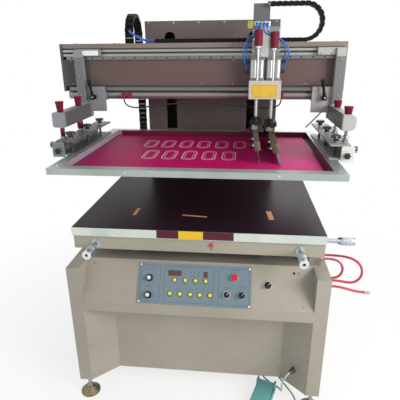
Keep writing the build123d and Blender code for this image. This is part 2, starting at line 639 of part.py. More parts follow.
# Table board with its vacuum plenum and top sheet
with BuildPart() as table_top:
    board_rear_y = TABLE_FRONT_Y + TABLE_DEPTH
    block(
        -TABLE_WIDTH / 2, TABLE_WIDTH / 2, TABLE_FRONT_Y, board_rear_y,
        BOARD_BOTTOM_Z, TABLE_TOP_Z - SKIN_THICKNESS
    )
    block(
        -TABLE_WIDTH / 2 + SKIN_MARGIN, TABLE_WIDTH / 2 - SKIN_MARGIN, TABLE_FRONT_Y + SKIN_MARGIN,
        board_rear_y - SKIN_MARGIN, TABLE_TOP_Z - SKIN_THICKNESS, TABLE_TOP_Z
    )
    block(
        -TABLE_WIDTH / 2 + PLENUM_RIM, TABLE_WIDTH / 2 - PLENUM_RIM, TABLE_FRONT_Y + PLENUM_RIM,
        board_rear_y - PLENUM_RIM, TABLE_TOP_Z - SKIN_THICKNESS - PLENUM_DEPTH,
        TABLE_TOP_Z - SKIN_THICKNESS, Mode.SUBTRACT
    )
    with Locations((0, TABLE_FRONT_Y + TABLE_DEPTH / 2, TABLE_TOP_Z - SKIN_THICKNESS / 2)):
        with GridLocations(VACUUM_HOLE_PITCH, VACUUM_HOLE_PITCH, 11, 7):
            Cylinder(VACUUM_HOLE_RADIUS, 2 * SKIN_THICKNESS, mode=Mode.SUBTRACT)
    post(0, -120, BOARD_BOTTOM_Z - 1, TABLE_TOP_Z - SKIN_THICKNESS - PLENUM_DEPTH + 1, 25, Mode.SUBTRACT)

# Micrometer thimbles
thimbles = []
for side in (-1, 1):
    with BuildPart() as thimble:
        near_y = UNDERFRAME_FRONT_Y - THIMBLE_NEAR
        far_y = near_y - THIMBLE_LENGTH
        thimble_x = side * MICROMETER_X
        bar_y(thimble_x, far_y, near_y - THIMBLE_CONE, MICROMETER_Z, THIMBLE_RADIUS)
        with Locations((thimble_x, near_y - THIMBLE_CONE / 2, MICROMETER_Z)):
            Cone(THIMBLE_RADIUS, THIMBLE_NECK_RADIUS, THIMBLE_CONE, rotation=(-90, 0, 0))
        bar_y(thimble_x, far_y + 12, near_y, MICROMETER_Z, SLEEVE_RADIUS + SHAFT_FIT, Mode.SUBTRACT)
        bar_y(thimble_x, far_y, far_y + 6, MICROMETER_Z, 5, Mode.SUBTRACT)
    thimbles.append(thimble)
with BuildPart() as thimble_side:
    near_x = UNDERFRAME_HALF + SIDE_REACH + THIMBLE_NEAR
    far_x = near_x + THIMBLE_LENGTH
    bar_x(near_x + THIMBLE_CONE, far_x, SIDE_MICROMETER_Y, SIDE_MICROMETER_Z, THIMBLE_RADIUS)
    with Locations((near_x + THIMBLE_CONE / 2, SIDE_MICROMETER_Y, SIDE_MICROMETER_Z)):
        Cone(THIMBLE_NECK_RADIUS, THIMBLE_RADIUS, THIMBLE_CONE, rotation=(0, 90, 0))
    bar_x(near_x, far_x - 12, SIDE_MICROMETER_Y, SIDE_MICROMETER_Z, SLEEVE_RADIUS + SHAFT_FIT, Mode.SUBTRACT)
    bar_x(far_x - 6, far_x, SIDE_MICROMETER_Y, SIDE_MICROMETER_Z, 5, Mode.SUBTRACT)

# Beam with its rails, band and lower tube
TUBE_LEFT_X = -652
SENSOR_X = (-385, -357, 338)
SENSOR_WIDTH = 18
with BuildPart() as beam:
    box_left = BEAM_LEFT_X + CAP_THICKNESS
    box_right = BEAM_RIGHT_X - CAP_THICKNESS
    block(box_left, box_right, BEAM_BOX_FRONT_Y, BEAM_BOX_REAR_Y, BEAM_BOTTOM_Z, BEAM_PLATE_Z)
    block(
        box_left, box_right, BEAM_BOX_FRONT_Y + BEAM_WALL, BEAM_BOX_REAR_Y - BEAM_WALL,
        BEAM_BOTTOM_Z + BEAM_WALL, BEAM_PLATE_Z - BEAM_WALL, Mode.SUBTRACT
    )
    # Long opening in front of the drive cylinder
    block(
        box_left, box_right, BEAM_BOX_FRONT_Y - 1, BEAM_BOX_FRONT_Y + BEAM_WALL + 1,
        COVER_BOTTOM_Z + 2, COVER_TOP_Z - 8, Mode.SUBTRACT
    )
    block(BEAM_LEFT_X, BEAM_RIGHT_X, BEAM_FRONT_Y, BEAM_BOX_REAR_Y, BEAM_PLATE_Z, BEAM_TOP_Z)
    block(BEAM_LEFT_X, box_left, BEAM_FRONT_Y, BEAM_BOX_REAR_Y, BEAM_BOTTOM_Z, BEAM_PLATE_Z)
    block(box_right, BEAM_RIGHT_X, BEAM_FRONT_Y, BEAM_BOX_REAR_Y, BEAM_BOTTOM_Z, BEAM_PLATE_Z)
    block(box_left, box_right, BAND_FRONT_Y, BEAM_BOX_FRONT_Y, BAND_BOTTOM_Z, BAND_TOP_Z)
    block(
        box_left, box_right, BAND_FRONT_Y - 1, BAND_FRONT_Y + BAND_GROOVE,
        BAND_GROOVE_Z - BAND_GROOVE / 2, BAND_GROOVE_Z + BAND_GROOVE / 2, Mode.SUBTRACT
    )
    for rail_z in (UPPER_RAIL_Z, LOWER_RAIL_Z):
        block(
            box_left + 20, box_right - 14, GUIDE_RAIL_FRONT_Y, BEAM_BOX_FRONT_Y,
            rail_z - GUIDE_RAIL_WIDTH / 2, rail_z + GUIDE_RAIL_WIDTH / 2
        )
    for step in range(25):
        bar_y(
            box_left + 44 + RAIL_HOLE_PITCH * step, GUIDE_RAIL_FRONT_Y - 1, GUIDE_RAIL_FRONT_Y + 5,
            UPPER_RAIL_Z, RAIL_HOLE_RADIUS, Mode.SUBTRACT
        )
    # Lower tube with its rib
    bar_x(TUBE_LEFT_X, BEAM_RIGHT_X, TUBE_Y, TUBE_Z, TUBE_RADIUS)
    block(TUBE_LEFT_X, BEAM_RIGHT_X - CAP_THICKNESS, TUBE_Y - 5, TUBE_Y + 5, TUBE_Z + 10, BEAM_BOTTOM_Z)
    # Limit sensors
    for sensor_x in SENSOR_X:
        block(sensor_x - SENSOR_WIDTH / 2, sensor_x + SENSOR_WIDTH / 2, -4, 16, 1270, 1297)

# Front cover of the beam
with BuildPart() as beam_cover:
    cover_left = BEAM_LEFT_X + 30
    cover_right = BEAM_RIGHT_X - 30
    block(cover_left, cover_right, BEAM_FRONT_Y, BEAM_BOX_FRONT_Y, COVER_BOTTOM_Z, COVER_TOP_Z)
    block(
        cover_left + 3, cover_right - 3, BEAM_FRONT_Y + 3, BEAM_BOX_FRONT_Y,
        COVER_BOTTOM_Z, COVER_TOP_Z - 3, Mode.SUBTRACT
    )

# Rodless cylinder that drives the carriage
DRIVE_RADIUS = 19
DRIVE_Y = BEAM_BOX_FRONT_Y + DRIVE_RADIUS
DRIVE_GAP = 0.3
DRIVE_Z = 1384
with BuildPart() as drive_cylinder:
    bar_x(box_left, box_right, DRIVE_Y, DRIVE_Z, DRIVE_RADIUS)
    for end_x in (box_left, box_right - 30):
        block(end_x, end_x + 30, BEAM_BOX_FRONT_Y, BEAM_BOX_FRONT_Y + 40, DRIVE_Z - 24, DRIVE_Z + 24)

# Lift frame: head arms, crosshead, bushes and piston rod
ARM_HALF_WIDTH = 23
HEAD_ARM_BOTTOM_Z = 1335
HEAD_ARM_TOP_Z = 1470
CROSSHEAD_FRONT_Y = 405
CROSSHEAD_REAR_Y = 480
CROSSHEAD_HALF = 245
with BuildPart() as lift_frame:
    block(
        -CROSSHEAD_HALF, CROSSHEAD_HALF, CROSSHEAD_FRONT_Y, CROSSHEAD_REAR_Y,
        HEAD_ARM_BOTTOM_Z, HEAD_ARM_TOP_Z
    )
    for side in (-1, 1):
        sided_block(
            side, SLOT_X - ARM_HALF_WIDTH, SLOT_X + ARM_HALF_WIDTH, BEAM_BOX_REAR_Y,
            CROSSHEAD_FRONT_Y, HEAD_ARM_BOTTOM_Z, HEAD_ARM_TOP_Z
        )
        post(
            side * GUIDE_X, GUIDE_Y, HEAD_ARM_BOTTOM_Z, HEAD_ARM_TOP_Z,
            GUIDE_RADIUS + SHAFT_FIT, Mode.SUBTRACT
        )
    post(0, GUIDE_Y, LIFT_ROD_BOTTOM_Z, HEAD_ARM_BOTTOM_Z, LIFT_PISTON_ROD)
    post(0, GUIDE_Y, LIFT_ROD_BOTTOM_Z, LIFT_ROD_BOTTOM_Z + 12, LIFT_CYLINDER_BORE - SHAFT_FIT)

# Upright cable chain: an inverted U beside the column
LIFT_CHAIN_RADIUS = (LIFT_CHAIN_REAR_Y - LIFT_CHAIN_FRONT_Y) / 2
LIFT_CHAIN_AXIS_Y = (LIFT_CHAIN_REAR_Y + LIFT_CHAIN_FRONT_Y) / 2
LIFT_CHAIN_AXIS_Z = LIFT_CHAIN_TOP_Z - LIFT_CHAIN_RADIUS
with BuildPart() as lift_chain:
    chain_left = LIFT_CHAIN_X - LIFT_CHAIN_WIDTH / 2
    chain_right = LIFT_CHAIN_X + LIFT_CHAIN_WIDTH / 2
    half = CHAIN_THICKNESS / 2
    bar_x(chain_left, chain_right, LIFT_CHAIN_AXIS_Y, LIFT_CHAIN_AXIS_Z, LIFT_CHAIN_RADIUS + half)
    bar_x(
        chain_left, chain_right, LIFT_CHAIN_AXIS_Y, LIFT_CHAIN_AXIS_Z,
        LIFT_CHAIN_RADIUS - half, Mode.SUBTRACT
    )
    block(
        chain_left, chain_right, LIFT_CHAIN_FRONT_Y - half, LIFT_CHAIN_REAR_Y + half,
        LIFT_CHAIN_AXIS_Z - LIFT_CHAIN_RADIUS - half, LIFT_CHAIN_AXIS_Z, Mode.SUBTRACT
    )
    block(
        chain_left, chain_right, LIFT_CHAIN_FRONT_Y - half, LIFT_CHAIN_FRONT_Y + half,
        BEAM_TOP_Z + 0.5, LIFT_CHAIN_AXIS_Z
    )
    block(
        chain_left, chain_right, LIFT_CHAIN_REAR_Y - half, LIFT_CHAIN_REAR_Y + half,
        LIFT_CHAIN_END_Z, LIFT_CHAIN_AXIS_Z
    )

# Carriage cable chain: a U on its side, on the beam's top
CHAIN_LOWER_Z = BEAM_TOP_Z + CHAIN_THICKNESS / 2
CHAIN_LOOP_RADIUS = 72
CHAIN_LOOP_Z = CHAIN_LOWER_Z + CHAIN_LOOP_RADIUS
CHAIN_UPPER_Z = CHAIN_LOOP_Z + CHAIN_LOOP_RADIUS
with BuildPart() as carriage_chain:
    chain_front = CARRIAGE_CHAIN_Y - CARRIAGE_CHAIN_WIDTH / 2
    chain_rear = CARRIAGE_CHAIN_Y + CARRIAGE_CHAIN_WIDTH / 2
    bar_y(CARRIAGE_CHAIN_LOOP_X, chain_front, chain_rear, CHAIN_LOOP_Z, CHAIN_LOOP_RADIUS + half)
    bar_y(
        CARRIAGE_CHAIN_LOOP_X, chain_front, chain_rear, CHAIN_LOOP_Z,
        CHAIN_LOOP_RADIUS - half, Mode.SUBTRACT
    )
    block(
        CARRIAGE_CHAIN_LOOP_X - CHAIN_LOOP_RADIUS - half, CARRIAGE_CHAIN_LOOP_X, chain_front,
        chain_rear, CHAIN_LOWER_Z - half, CHAIN_UPPER_Z + half, Mode.SUBTRACT
    )
    block(
        CARRIAGE_CHAIN_LEFT_X, CARRIAGE_CHAIN_LOOP_X, chain_front, chain_rear,
        CHAIN_LOWER_Z - half, CHAIN_LOWER_Z + half
    )
    block(
        CARRIAGE_CHAIN_BRACKET_X, CARRIAGE_CHAIN_LOOP_X, chain_front, chain_rear,
        CHAIN_UPPER_Z - half, CHAIN_UPPER_Z + half
    )

# Carriage
RUNNER_HALF = 55
RUNNER_FRONT_Y = -8
RUNNER_LIP = 7
RUNNER_LIP_REAR_Y = 7.5
BACK_PLATE_TOP_Z = 1571
PROFILE_HALF = 15
ROD_BUSH_RADIUS = 10
BRACKET_LEFT_X = 203
BRACKET_TOP_Z = 1667
with BuildPart() as carriage:
    block(BOX_LEFT_X, BOX_RIGHT_X, BOX_FRONT_Y, BOX_REAR_Y, BOX_BOTTOM_Z, BOX_TOP_Z)
    block(
        BOX_LEFT_X + BOX_SHEET, BOX_RIGHT_X - BOX_SHEET, BOX_FRONT_Y + BOX_SHEET, BOX_REAR_Y - BOX_SHEET,
        BOX_BOTTOM_Z + BOX_SHEET, BOX_TOP_Z - BOX_SHEET, Mode.SUBTRACT
    )
    for rod_x in (SQUEEGEE_ROD_X, FLOOD_ROD_X):
        post(rod_x, ROD_Y + 2, BOX_BOTTOM_Z, BOX_TOP_Z, ROD_BUSH_RADIUS)
        post(rod_x, ROD_Y, BOX_BOTTOM_Z - 1, BOX_TOP_Z + 1, LIFT_ROD_RADIUS + SHAFT_FIT, Mode.SUBTRACT)
        post(rod_x, PISTON_Y, BOX_BOTTOM_Z - 1, BOX_TOP_Z + 1, PISTON_ROD_RADIUS + 2, Mode.SUBTRACT)
    # Back plate and the runners on the two guide rails
    block(
        CARRIAGE_X - RUNNER_HALF - 3, CARRIAGE_X + RUNNER_HALF + 3, BOX_REAR_Y, RUNNER_FRONT_Y,
        BOX_BOTTOM_Z + 9, BACK_PLATE_TOP_Z
    )
    for rail_z in (UPPER_RAIL_Z, LOWER_RAIL_Z):
        lip = GUIDE_RAIL_WIDTH / 2
        block(
            CARRIAGE_X - RUNNER_HALF, CARRIAGE_X + RUNNER_HALF, RUNNER_FRONT_Y, RUNNER_LIP_REAR_Y,
            rail_z - lip - RUNNER_LIP, rail_z + lip + RUNNER_LIP
        )
        block(
            CARRIAGE_X - RUNNER_HALF, CARRIAGE_X + RUNNER_HALF, GUIDE_RAIL_FRONT_Y - SLIDE_FIT, RUNNER_LIP_REAR_Y,
            rail_z - lip - SLIDE_FIT, rail_z + lip + SLIDE_FIT, Mode.SUBTRACT
        )
    # Link to the drive cylinder through the gap below the cover
    block(CARRIAGE_X - 28, CARRIAGE_X + 28, RUNNER_FRONT_Y, BEAM_BOX_FRONT_Y - 1, 1323.6, 1329)
    block(
        CARRIAGE_X - 28, CARRIAGE_X + 28, BEAM_FRONT_Y + 8, DRIVE_Y - DRIVE_RADIUS - DRIVE_GAP,
        1323.6, DRIVE_Z + 15
    )
    # Profile, shelf and bracket for the cable chain
    block(
        CARRIAGE_X - 6 - PROFILE_HALF, CARRIAGE_X - 6 + PROFILE_HALF, BOX_REAR_Y - 30, BOX_REAR_Y,
        CYLINDER_TOP_Z + 3, BACK_PLATE_TOP_Z
    )
    block(
        BRACKET_LEFT_X, CARRIAGE_CHAIN_BRACKET_X, BOX_REAR_Y - 8, CARRIAGE_CHAIN_Y + 6,
        BACK_PLATE_TOP_Z, BACK_PLATE_TOP_Z + 6
    )
    block(
        BRACKET_LEFT_X, CARRIAGE_CHAIN_BRACKET_X, CARRIAGE_CHAIN_Y, CARRIAGE_CHAIN_Y + 6,
        BACK_PLATE_TOP_Z, BRACKET_TOP_Z
    )
    block(
        CARRIAGE_CHAIN_BRACKET_X - 12, CARRIAGE_CHAIN_BRACKET_X, chain_front, chain_rear,
        CHAIN_UPPER_Z - half, CHAIN_UPPER_Z + half
    )

# Air cylinders of the squeegee and the flood bar, with their fittings
FITTING_ROW_Z = 1580
fitting_xs = (216, 231, 246, 261)
FITTING_FRONT_Y = BOX_REAR_Y - 44
FITTING_TUBE_Y = BOX_REAR_Y - 38.5
FITTING_TUBE_Z = FITTING_ROW_Z - 11
SIDE_FITTING_Z = 1391
UPPER_FITTING_Z = 1431
with BuildPart() as lift_cylinders:
    for rod_x, side in ((FLOOD_ROD_X, -1), (SQUEEGEE_ROD_X, 1)):
        body_left = BOX_LEFT_X + 2 if side < 0 else BOX_RIGHT_X - 2 - CYLINDER_WIDTH
        block(
            body_left, body_left + CYLINDER_WIDTH, PISTON_Y - CYLINDER_DEPTH / 2,
            PISTON_Y + CYLINDER_DEPTH / 2, BOX_TOP_Z, CYLINDER_TOP_Z
        )
        post(rod_x, PISTON_Y, BOX_TOP_Z + 9, CYLINDER_TOP_Z - 7, CYLINDER_BORE, Mode.SUBTRACT)
        post(rod_x, PISTON_Y, BOX_TOP_Z - 1, BOX_TOP_Z + 10, PISTON_ROD_RADIUS + SHAFT_FIT, Mode.SUBTRACT)
        outer_x = body_left if side < 0 else body_left + CYLINDER_WIDTH
        for fitting_z in (SIDE_FITTING_Z, UPPER_FITTING_Z):
            sided_x = outer_x + side * 13
            bar_x(min(outer_x, sided_x), max(outer_x, sided_x), PISTON_Y, fitting_z, 5)
            post(sided_x, PISTON_Y, fitting_z - 5, fitting_z + 8, 5)
    block(
        BRACKET_LEFT_X + 3, CARRIAGE_CHAIN_BRACKET_X - 2, BOX_REAR_Y - 30, BOX_REAR_Y - 8,
        BACK_PLATE_TOP_Z, BACK_PLATE_TOP_Z + 18
    )
    for fitting_x in fitting_xs:
        bar_y(fitting_x, FITTING_FRONT_Y, BOX_REAR_Y - 30, FITTING_ROW_Z, 6)
        post(fitting_x, FITTING_TUBE_Y, FITTING_TUBE_Z, FITTING_ROW_Z, 5)
    for screw_x in (224, 254):
        post(screw_x, BOX_REAR_Y - 19, BACK_PLATE_TOP_Z + 18, BACK_PLATE_TOP_Z + 22, 4)

# Lifts: guide rod, piston rod, bridge and the fork for the tilting holder
BRIDGE_FRONT_Y = -125
BRIDGE_REAR_Y = -33
BRIDGE_BOTTOM_Z = 1168
BRIDGE_TOP_Z = 1187
CHEEK = 12
ROD_END_Z = 1542
PISTON_Z = 1380
lifts = []
for rod_x, raise_z in ((SQUEEGEE_ROD_X, 0), (FLOOD_ROD_X, FLOOD_RAISE)):
    pivot_x = rod_x - 4
    with BuildPart() as lift:
        block(
            rod_x - 24, rod_x + 24, BRIDGE_FRONT_Y, BRIDGE_REAR_Y,
            BRIDGE_BOTTOM_Z + raise_z, BRIDGE_TOP_Z + raise_z
        )
        for cheek_y in (BRIDGE_FRONT_Y, BRIDGE_REAR_Y - CHEEK):
            block(
                pivot_x - 12, pivot_x + 12, cheek_y, cheek_y + CHEEK,
                PIVOT_Z - 11 + raise_z, BRIDGE_BOTTOM_Z + raise_z
            )
        bar_y(pivot_x, BRIDGE_FRONT_Y, BRIDGE_REAR_Y, PIVOT_Z + raise_z, PIVOT_RADIUS)
        post(rod_x, ROD_Y, BRIDGE_TOP_Z + raise_z, ROD_END_Z + raise_z, LIFT_ROD_RADIUS)
        post(rod_x, ROD_Y, SQUEEGEE_KNOB_Z - 11 + raise_z, SQUEEGEE_KNOB_Z - 0.1 + raise_z, 9)
        post(rod_x, ROD_Y, BRIDGE_TOP_Z + raise_z, BRIDGE_TOP_Z + 12 + raise_z, 11)
        post(rod_x, PISTON_Y, BRIDGE_TOP_Z + raise_z, PISTON_Z + raise_z, PISTON_ROD_RADIUS)
        post(rod_x, PISTON_Y, PISTON_Z + raise_z, PISTON_Z + 10 + raise_z, CYLINDER_BORE - SHAFT_FIT)
        # Clamping knob on the front
        star_knob(
            Location((rod_x + 4, BRIDGE_FRONT_Y, BRIDGE_TOP_Z - 9 + raise_z), (90, 0, 0)), 13, 20
        )
    lifts.append(lift)
squeegee_lift, flood_lift = lifts

# Squeegee and flood bar, each leaning on its pivot
BLADE_REAR_Y = BLADE_FRONT_Y + BLADE_LENGTH
LUG_GAP = 0.1
HOLDER_TOP = 18
HOLDER_BOTTOM = 52


def leaning_bar(pivot_x, pivot_z, lean, half_thickness, top, bottom):
    """A bar along y, top and bottom measured down from the pivot along the lean."""
    down = Vector(sin(radians(lean)), 0, -cos(radians(lean)))
    place = Plane(
        origin=Vector(pivot_x, BLADE_FRONT_Y + BLADE_LENGTH / 2, pivot_z) + down * ((top + bottom) / 2),
        x_dir=(0, 1, 0), z_dir=down
    )
    with Locations(place):
        Box(BLADE_LENGTH, 2 * half_thickness, bottom - top)


blades = []
blade_specs = (
    (SQUEEGEE_ROD_X - 4, PIVOT_Z, SQUEEGEE_LEAN, 14, 4.5),
    (FLOOD_ROD_X - 4, PIVOT_Z + FLOOD_RAISE, FLOOD_LEAN, 11, 1.2),
)
for pivot_x, pivot_z, lean, holder_half, blade_half in blade_specs:
    edge = (pivot_z - BLADE_EDGE_Z) / cos(radians(lean))
    with BuildPart() as blade:
        leaning_bar(pivot_x, pivot_z, lean, holder_half, HOLDER_TOP, HOLDER_BOTTOM)
        leaning_bar(pivot_x, pivot_z, lean, blade_half, HOLDER_BOTTOM - 4, edge)
        lug_front = BRIDGE_FRONT_Y + CHEEK + LUG_GAP
        lug_rear = BRIDGE_REAR_Y - CHEEK - LUG_GAP
        bar_y(pivot_x, lug_front, lug_rear, pivot_z, 9)
        down = Vector(sin(radians(lean)), 0, -cos(radians(lean)))
        lug_middle = Vector(pivot_x, (lug_front + lug_rear) / 2, pivot_z) + down * (HOLDER_TOP / 2 + 1)
        with Locations(Plane(origin=lug_middle, x_dir=(0, 1, 0), z_dir=down)):
            Box(lug_rear - lug_front, 14, HOLDER_TOP + 2)
        bar_y(pivot_x, lug_front, lug_rear, pivot_z, PIVOT_RADIUS + SHAFT_FIT, Mode.SUBTRACT)
    blades.append(blade)
squeegee, flood_blade = blades

# Stroke knobs on the lift rods
stroke_knobs = []
for rod_x, raise_z in ((FLOOD_ROD_X, FLOOD_RAISE), (SQUEEGEE_ROD_X, 0)):
    knob_z = SQUEEGEE_KNOB_Z + raise_z
    with BuildPart() as stroke_knob:
        post(rod_x, ROD_Y, knob_z, knob_z + KNOB_HEIGHT, KNOB_RADIUS)
        fillet(stroke_knob.edges().filter_by(GeomType.CIRCLE).sort_by(Axis.Z)[-1], 2.5)
        post(rod_x, ROD_Y, knob_z, knob_z + KNOB_HEIGHT - 5, LIFT_ROD_RADIUS + SHAFT_FIT, Mode.SUBTRACT)
    stroke_knobs.append(stroke_knob)

# Side arms with the posts that hang from the beam
SADDLE_TOP_Z = BEAM_BOTTOM_Z - 1
SADDLE_BOTTOM_Z = TUBE_Z - 22
ARM_ROUNDING = {-1: 9, 1: 22}
ARM_POST_INNER = ARM_OUTER - 37
ARM_HEAD_INNER = ARM_OUTER - 113
ARM_HEAD_BOTTOM_Z = BAND_TOP_Z - 27
ARM_PLATE_INNER = ARM_OUTER - 123
ARM_PLATE_OUTER = ARM_OUTER - 26
arms = []
for side in (-1, 1):
    with BuildPart() as arm:
        sided_block(side, ARM_BAR_INNER, ARM_OUTER, ARM_BAR_FRONT_Y, 20, ARM_BAR_BOTTOM_Z, ARM_BAR_TOP_Z)
        outer_edges = arm.edges().filter_by(Axis.Y).sort_by(Axis.X)
        fillet(outer_edges[-2:] if side > 0 else outer_edges[:2], ARM_ROUNDING[side])
        sided_block(side, ARM_POST_INNER, ARM_OUTER, -34, -2, ARM_BAR_TOP_Z - 10, BAND_TOP_Z)
        sided_block(
            side, ARM_HEAD_INNER, ARM_OUTER - 4, -20, BAND_FRONT_Y - SLIDE_FIT,
            ARM_HEAD_BOTTOM_Z, BAND_TOP_Z + 3
        )
        sided_block(
            side, ARM_HEAD_INNER, ARM_OUTER - 32, BAND_FRONT_Y - SLIDE_FIT, BAND_FRONT_Y + BAND_GROOVE - 1,
            BAND_GROOVE_Z - BAND_GROOVE / 2 + SLIDE_FIT, BAND_GROOVE_Z + BAND_GROOVE / 2 - SLIDE_FIT
        )
        sided_block(
            side, ARM_PLATE_INNER, ARM_PLATE_OUTER, -14, 0, ARM_BAR_BOTTOM_Z + 25, BEAM_BOTTOM_Z + 23
        )
        sided_block(
            side, ARM_BAR_INNER - 3, ARM_PLATE_OUTER, -14, 0, ARM_BAR_BOTTOM_Z, ARM_BAR_BOTTOM_Z + 36
        )
        sided_block(
            side, ARM_PLATE_INNER, ARM_PLATE_OUTER, 0, TUBE_Y + 26, SADDLE_BOTTOM_Z, SADDLE_TOP_Z
        )
        sided_block(
            side, ARM_PLATE_INNER, ARM_PLATE_OUTER, TUBE_Y - 11, TUBE_Y + 11,
            TUBE_Z, SADDLE_TOP_Z, Mode.SUBTRACT
        )
        bar_x(
            min(side * ARM_PLATE_INNER, side * ARM_PLATE_OUTER),
            max(side * ARM_PLATE_INNER, side * ARM_PLATE_OUTER),
            TUBE_Y, TUBE_Z, TUBE_RADIUS + SHAFT_FIT, Mode.SUBTRACT
        )
        bar_y(side * LEVER_X, -44, -14, LEVER_Z, 5)
        for screw_y in HEIGHT_SCREW_Y:
            post(
                side * HEIGHT_SCREW_X, screw_y, ARM_BAR_BOTTOM_Z - 1, ARM_BAR_TOP_Z + 1,
                HEIGHT_SCREW_RADIUS + SHAFT_FIT, Mode.SUBTRACT
            )
        if side > 0:
            stay_foot = Vector(ARM_OUTER - 114, 150, ARM_BAR_BOTTOM_Z - 70)
            stay_head = Vector(ARM_OUTER - 74, -4, ARM_BAR_BOTTOM_Z + 27)
            stay_run = stay_foot - stay_head
            stay = Plane(origin=stay_head, z_dir=stay_run)
            local_bar(stay.location, 3, 0, stay_run.length)
    arms.append(arm)

# Levers that lock the arms
LEVER_TILT = -10
levers = []
for side in (-1, 1):
    with BuildPart() as lever:
        hub = Location((side * LEVER_X, 0, LEVER_Z), (0, LEVER_TILT, 0))
        bar_y(side * LEVER_X, -44, -14.3, LEVER_Z, 11)
        with Locations(hub * Location((0, -34, 34))):
            Cylinder(5.5, 56)
        with Locations(hub * Location((0, -34, 62))):
            Sphere(8)
        bar_y(side * LEVER_X, -44, -14.3, LEVER_Z, 5 + SHAFT_FIT, Mode.SUBTRACT)
    levers.append(lever)

# Height knobs on the arms, tall on the left and low on the right
HEIGHT_KNOBS = {-1: (12, 17, 42), 1: (13, 17.5, 29)}
height_knobs = []
for side in (-1, 1):
    foot_radius, head_radius, knob_height = HEIGHT_KNOBS[side]
    for screw_y in HEIGHT_SCREW_Y:
        with BuildPart() as height_knob:
            with Locations((side * HEIGHT_SCREW_X, screw_y, ARM_BAR_TOP_Z + 0.1)):
                Cone(foot_radius, head_radius, knob_height, align=(Align.CENTER, Align.CENTER, Align.MIN))
            post(
                side * HEIGHT_SCREW_X, screw_y, ARM_BAR_TOP_Z, ARM_BAR_TOP_Z + knob_height + 1,
                HEIGHT_SCREW_RADIUS + SHAFT_FIT, Mode.SUBTRACT
            )
        height_knobs.append(height_knob)

# Screen clamps
SCREW_TOP_Z = ARM_BAR_TOP_Z + 24
SLEEVE_TOP_Z = ARM_BAR_BOTTOM_Z - 5
HOOK_X0 = SCREEN_HALF + 0.1
HOOK_THICKNESS = 4
HOOK_REACH = 14
SCREEN_TOP_Z = SCREEN_BOTTOM_Z + SCREEN_RAIL_HEIGHT
clamps = []
for side in (-1, 1):
    with BuildPart() as clamp:
        sided_block(
            side, CHANNEL_INNER, CHANNEL_OUTER, CHANNEL_FRONT_Y, CHANNEL_REAR_Y,
            CHANNEL_BOTTOM_Z, CHANNEL_TOP_Z
        )
        sided_block(
            side, CHANNEL_INNER, CHANNEL_OUTER - CHANNEL_WALL, CHANNEL_FRONT_Y, CHANNEL_REAR_Y,
            CHANNEL_BOTTOM_Z + CHANNEL_WALL, CHANNEL_TOP_Z - CHANNEL_WALL, Mode.SUBTRACT
        )
        # Hook under the screen frame's rail
        sided_block(
            side, HOOK_X0, HOOK_X0 + HOOK_THICKNESS, CHANNEL_FRONT_Y, CHANNEL_REAR_Y,
            SCREEN_BOTTOM_Z - 0.1 - HOOK_THICKNESS, CHANNEL_BOTTOM_Z
        )
        sided_block(
            side, HOOK_X0 - HOOK_REACH, HOOK_X0 + HOOK_THICKNESS, CHANNEL_FRONT_Y, CHANNEL_REAR_Y,
            SCREEN_BOTTOM_Z - 0.1 - HOOK_THICKNESS, SCREEN_BOTTOM_Z - 0.1
        )
        for star_y in STAR_Y:
            post(side * STAR_X, star_y, SCREEN_TOP_Z + 0.1, CHANNEL_TOP_Z + 16, 5)
            star_knob(Location((side * STAR_X, star_y, CHANNEL_TOP_Z + 8)), 18, 22)
        for screw_y in HEIGHT_SCREW_Y:
            post(side * HEIGHT_SCREW_X, screw_y, CHANNEL_TOP_Z, SCREW_TOP_Z, HEIGHT_SCREW_RADIUS)
            post(side * HEIGHT_SCREW_X, screw_y, CHANNEL_TOP_Z, CHANNEL_TOP_Z + 8, 10)
        if side < 0:
            post(side * HEIGHT_SCREW_X, HEIGHT_SCREW_Y[0], CHANNEL_TOP_Z + 8, SLEEVE_TOP_Z, 8)
            post(side * HEIGHT_SCREW_X, HEIGHT_SCREW_Y[1], CHANNEL_TOP_Z + 8, SLEEVE_TOP_Z, 13)
        else:
            for screw_y in HEIGHT_SCREW_Y:
                post(side * HEIGHT_SCREW_X, screw_y, CHANNEL_TOP_Z + 12, CHANNEL_TOP_Z + 16, 11)
                post(side * HEIGHT_SCREW_X, screw_y, CHANNEL_TOP_Z + 21, CHANNEL_TOP_Z + 25, 11)
        # Front end plate with its two knobs
        sided_block(
            side, CHANNEL_OUTER - 34, CHANNEL_OUTER + 13, CHANNEL_FRONT_Y - 8, CHANNEL_FRONT_Y,
            CHANNEL_BOTTOM_Z - 6, CHANNEL_TOP_Z - 5
        )
        front_foot = (side * (CHANNEL_OUTER - 14), CHANNEL_FRONT_Y - 8, CHANNEL_BOTTOM_Z + 19)
        star_knob(Location(front_foot, (90, 0, 0)), 12, 14)
        side_foot = (side * CHANNEL_OUTER, CHANNEL_FRONT_Y + 14, CHANNEL_BOTTOM_Z + 39)
        star_knob(Location(side_foot, (0, side * 90, 0)), 12, 26)
    clamps.append(clamp)

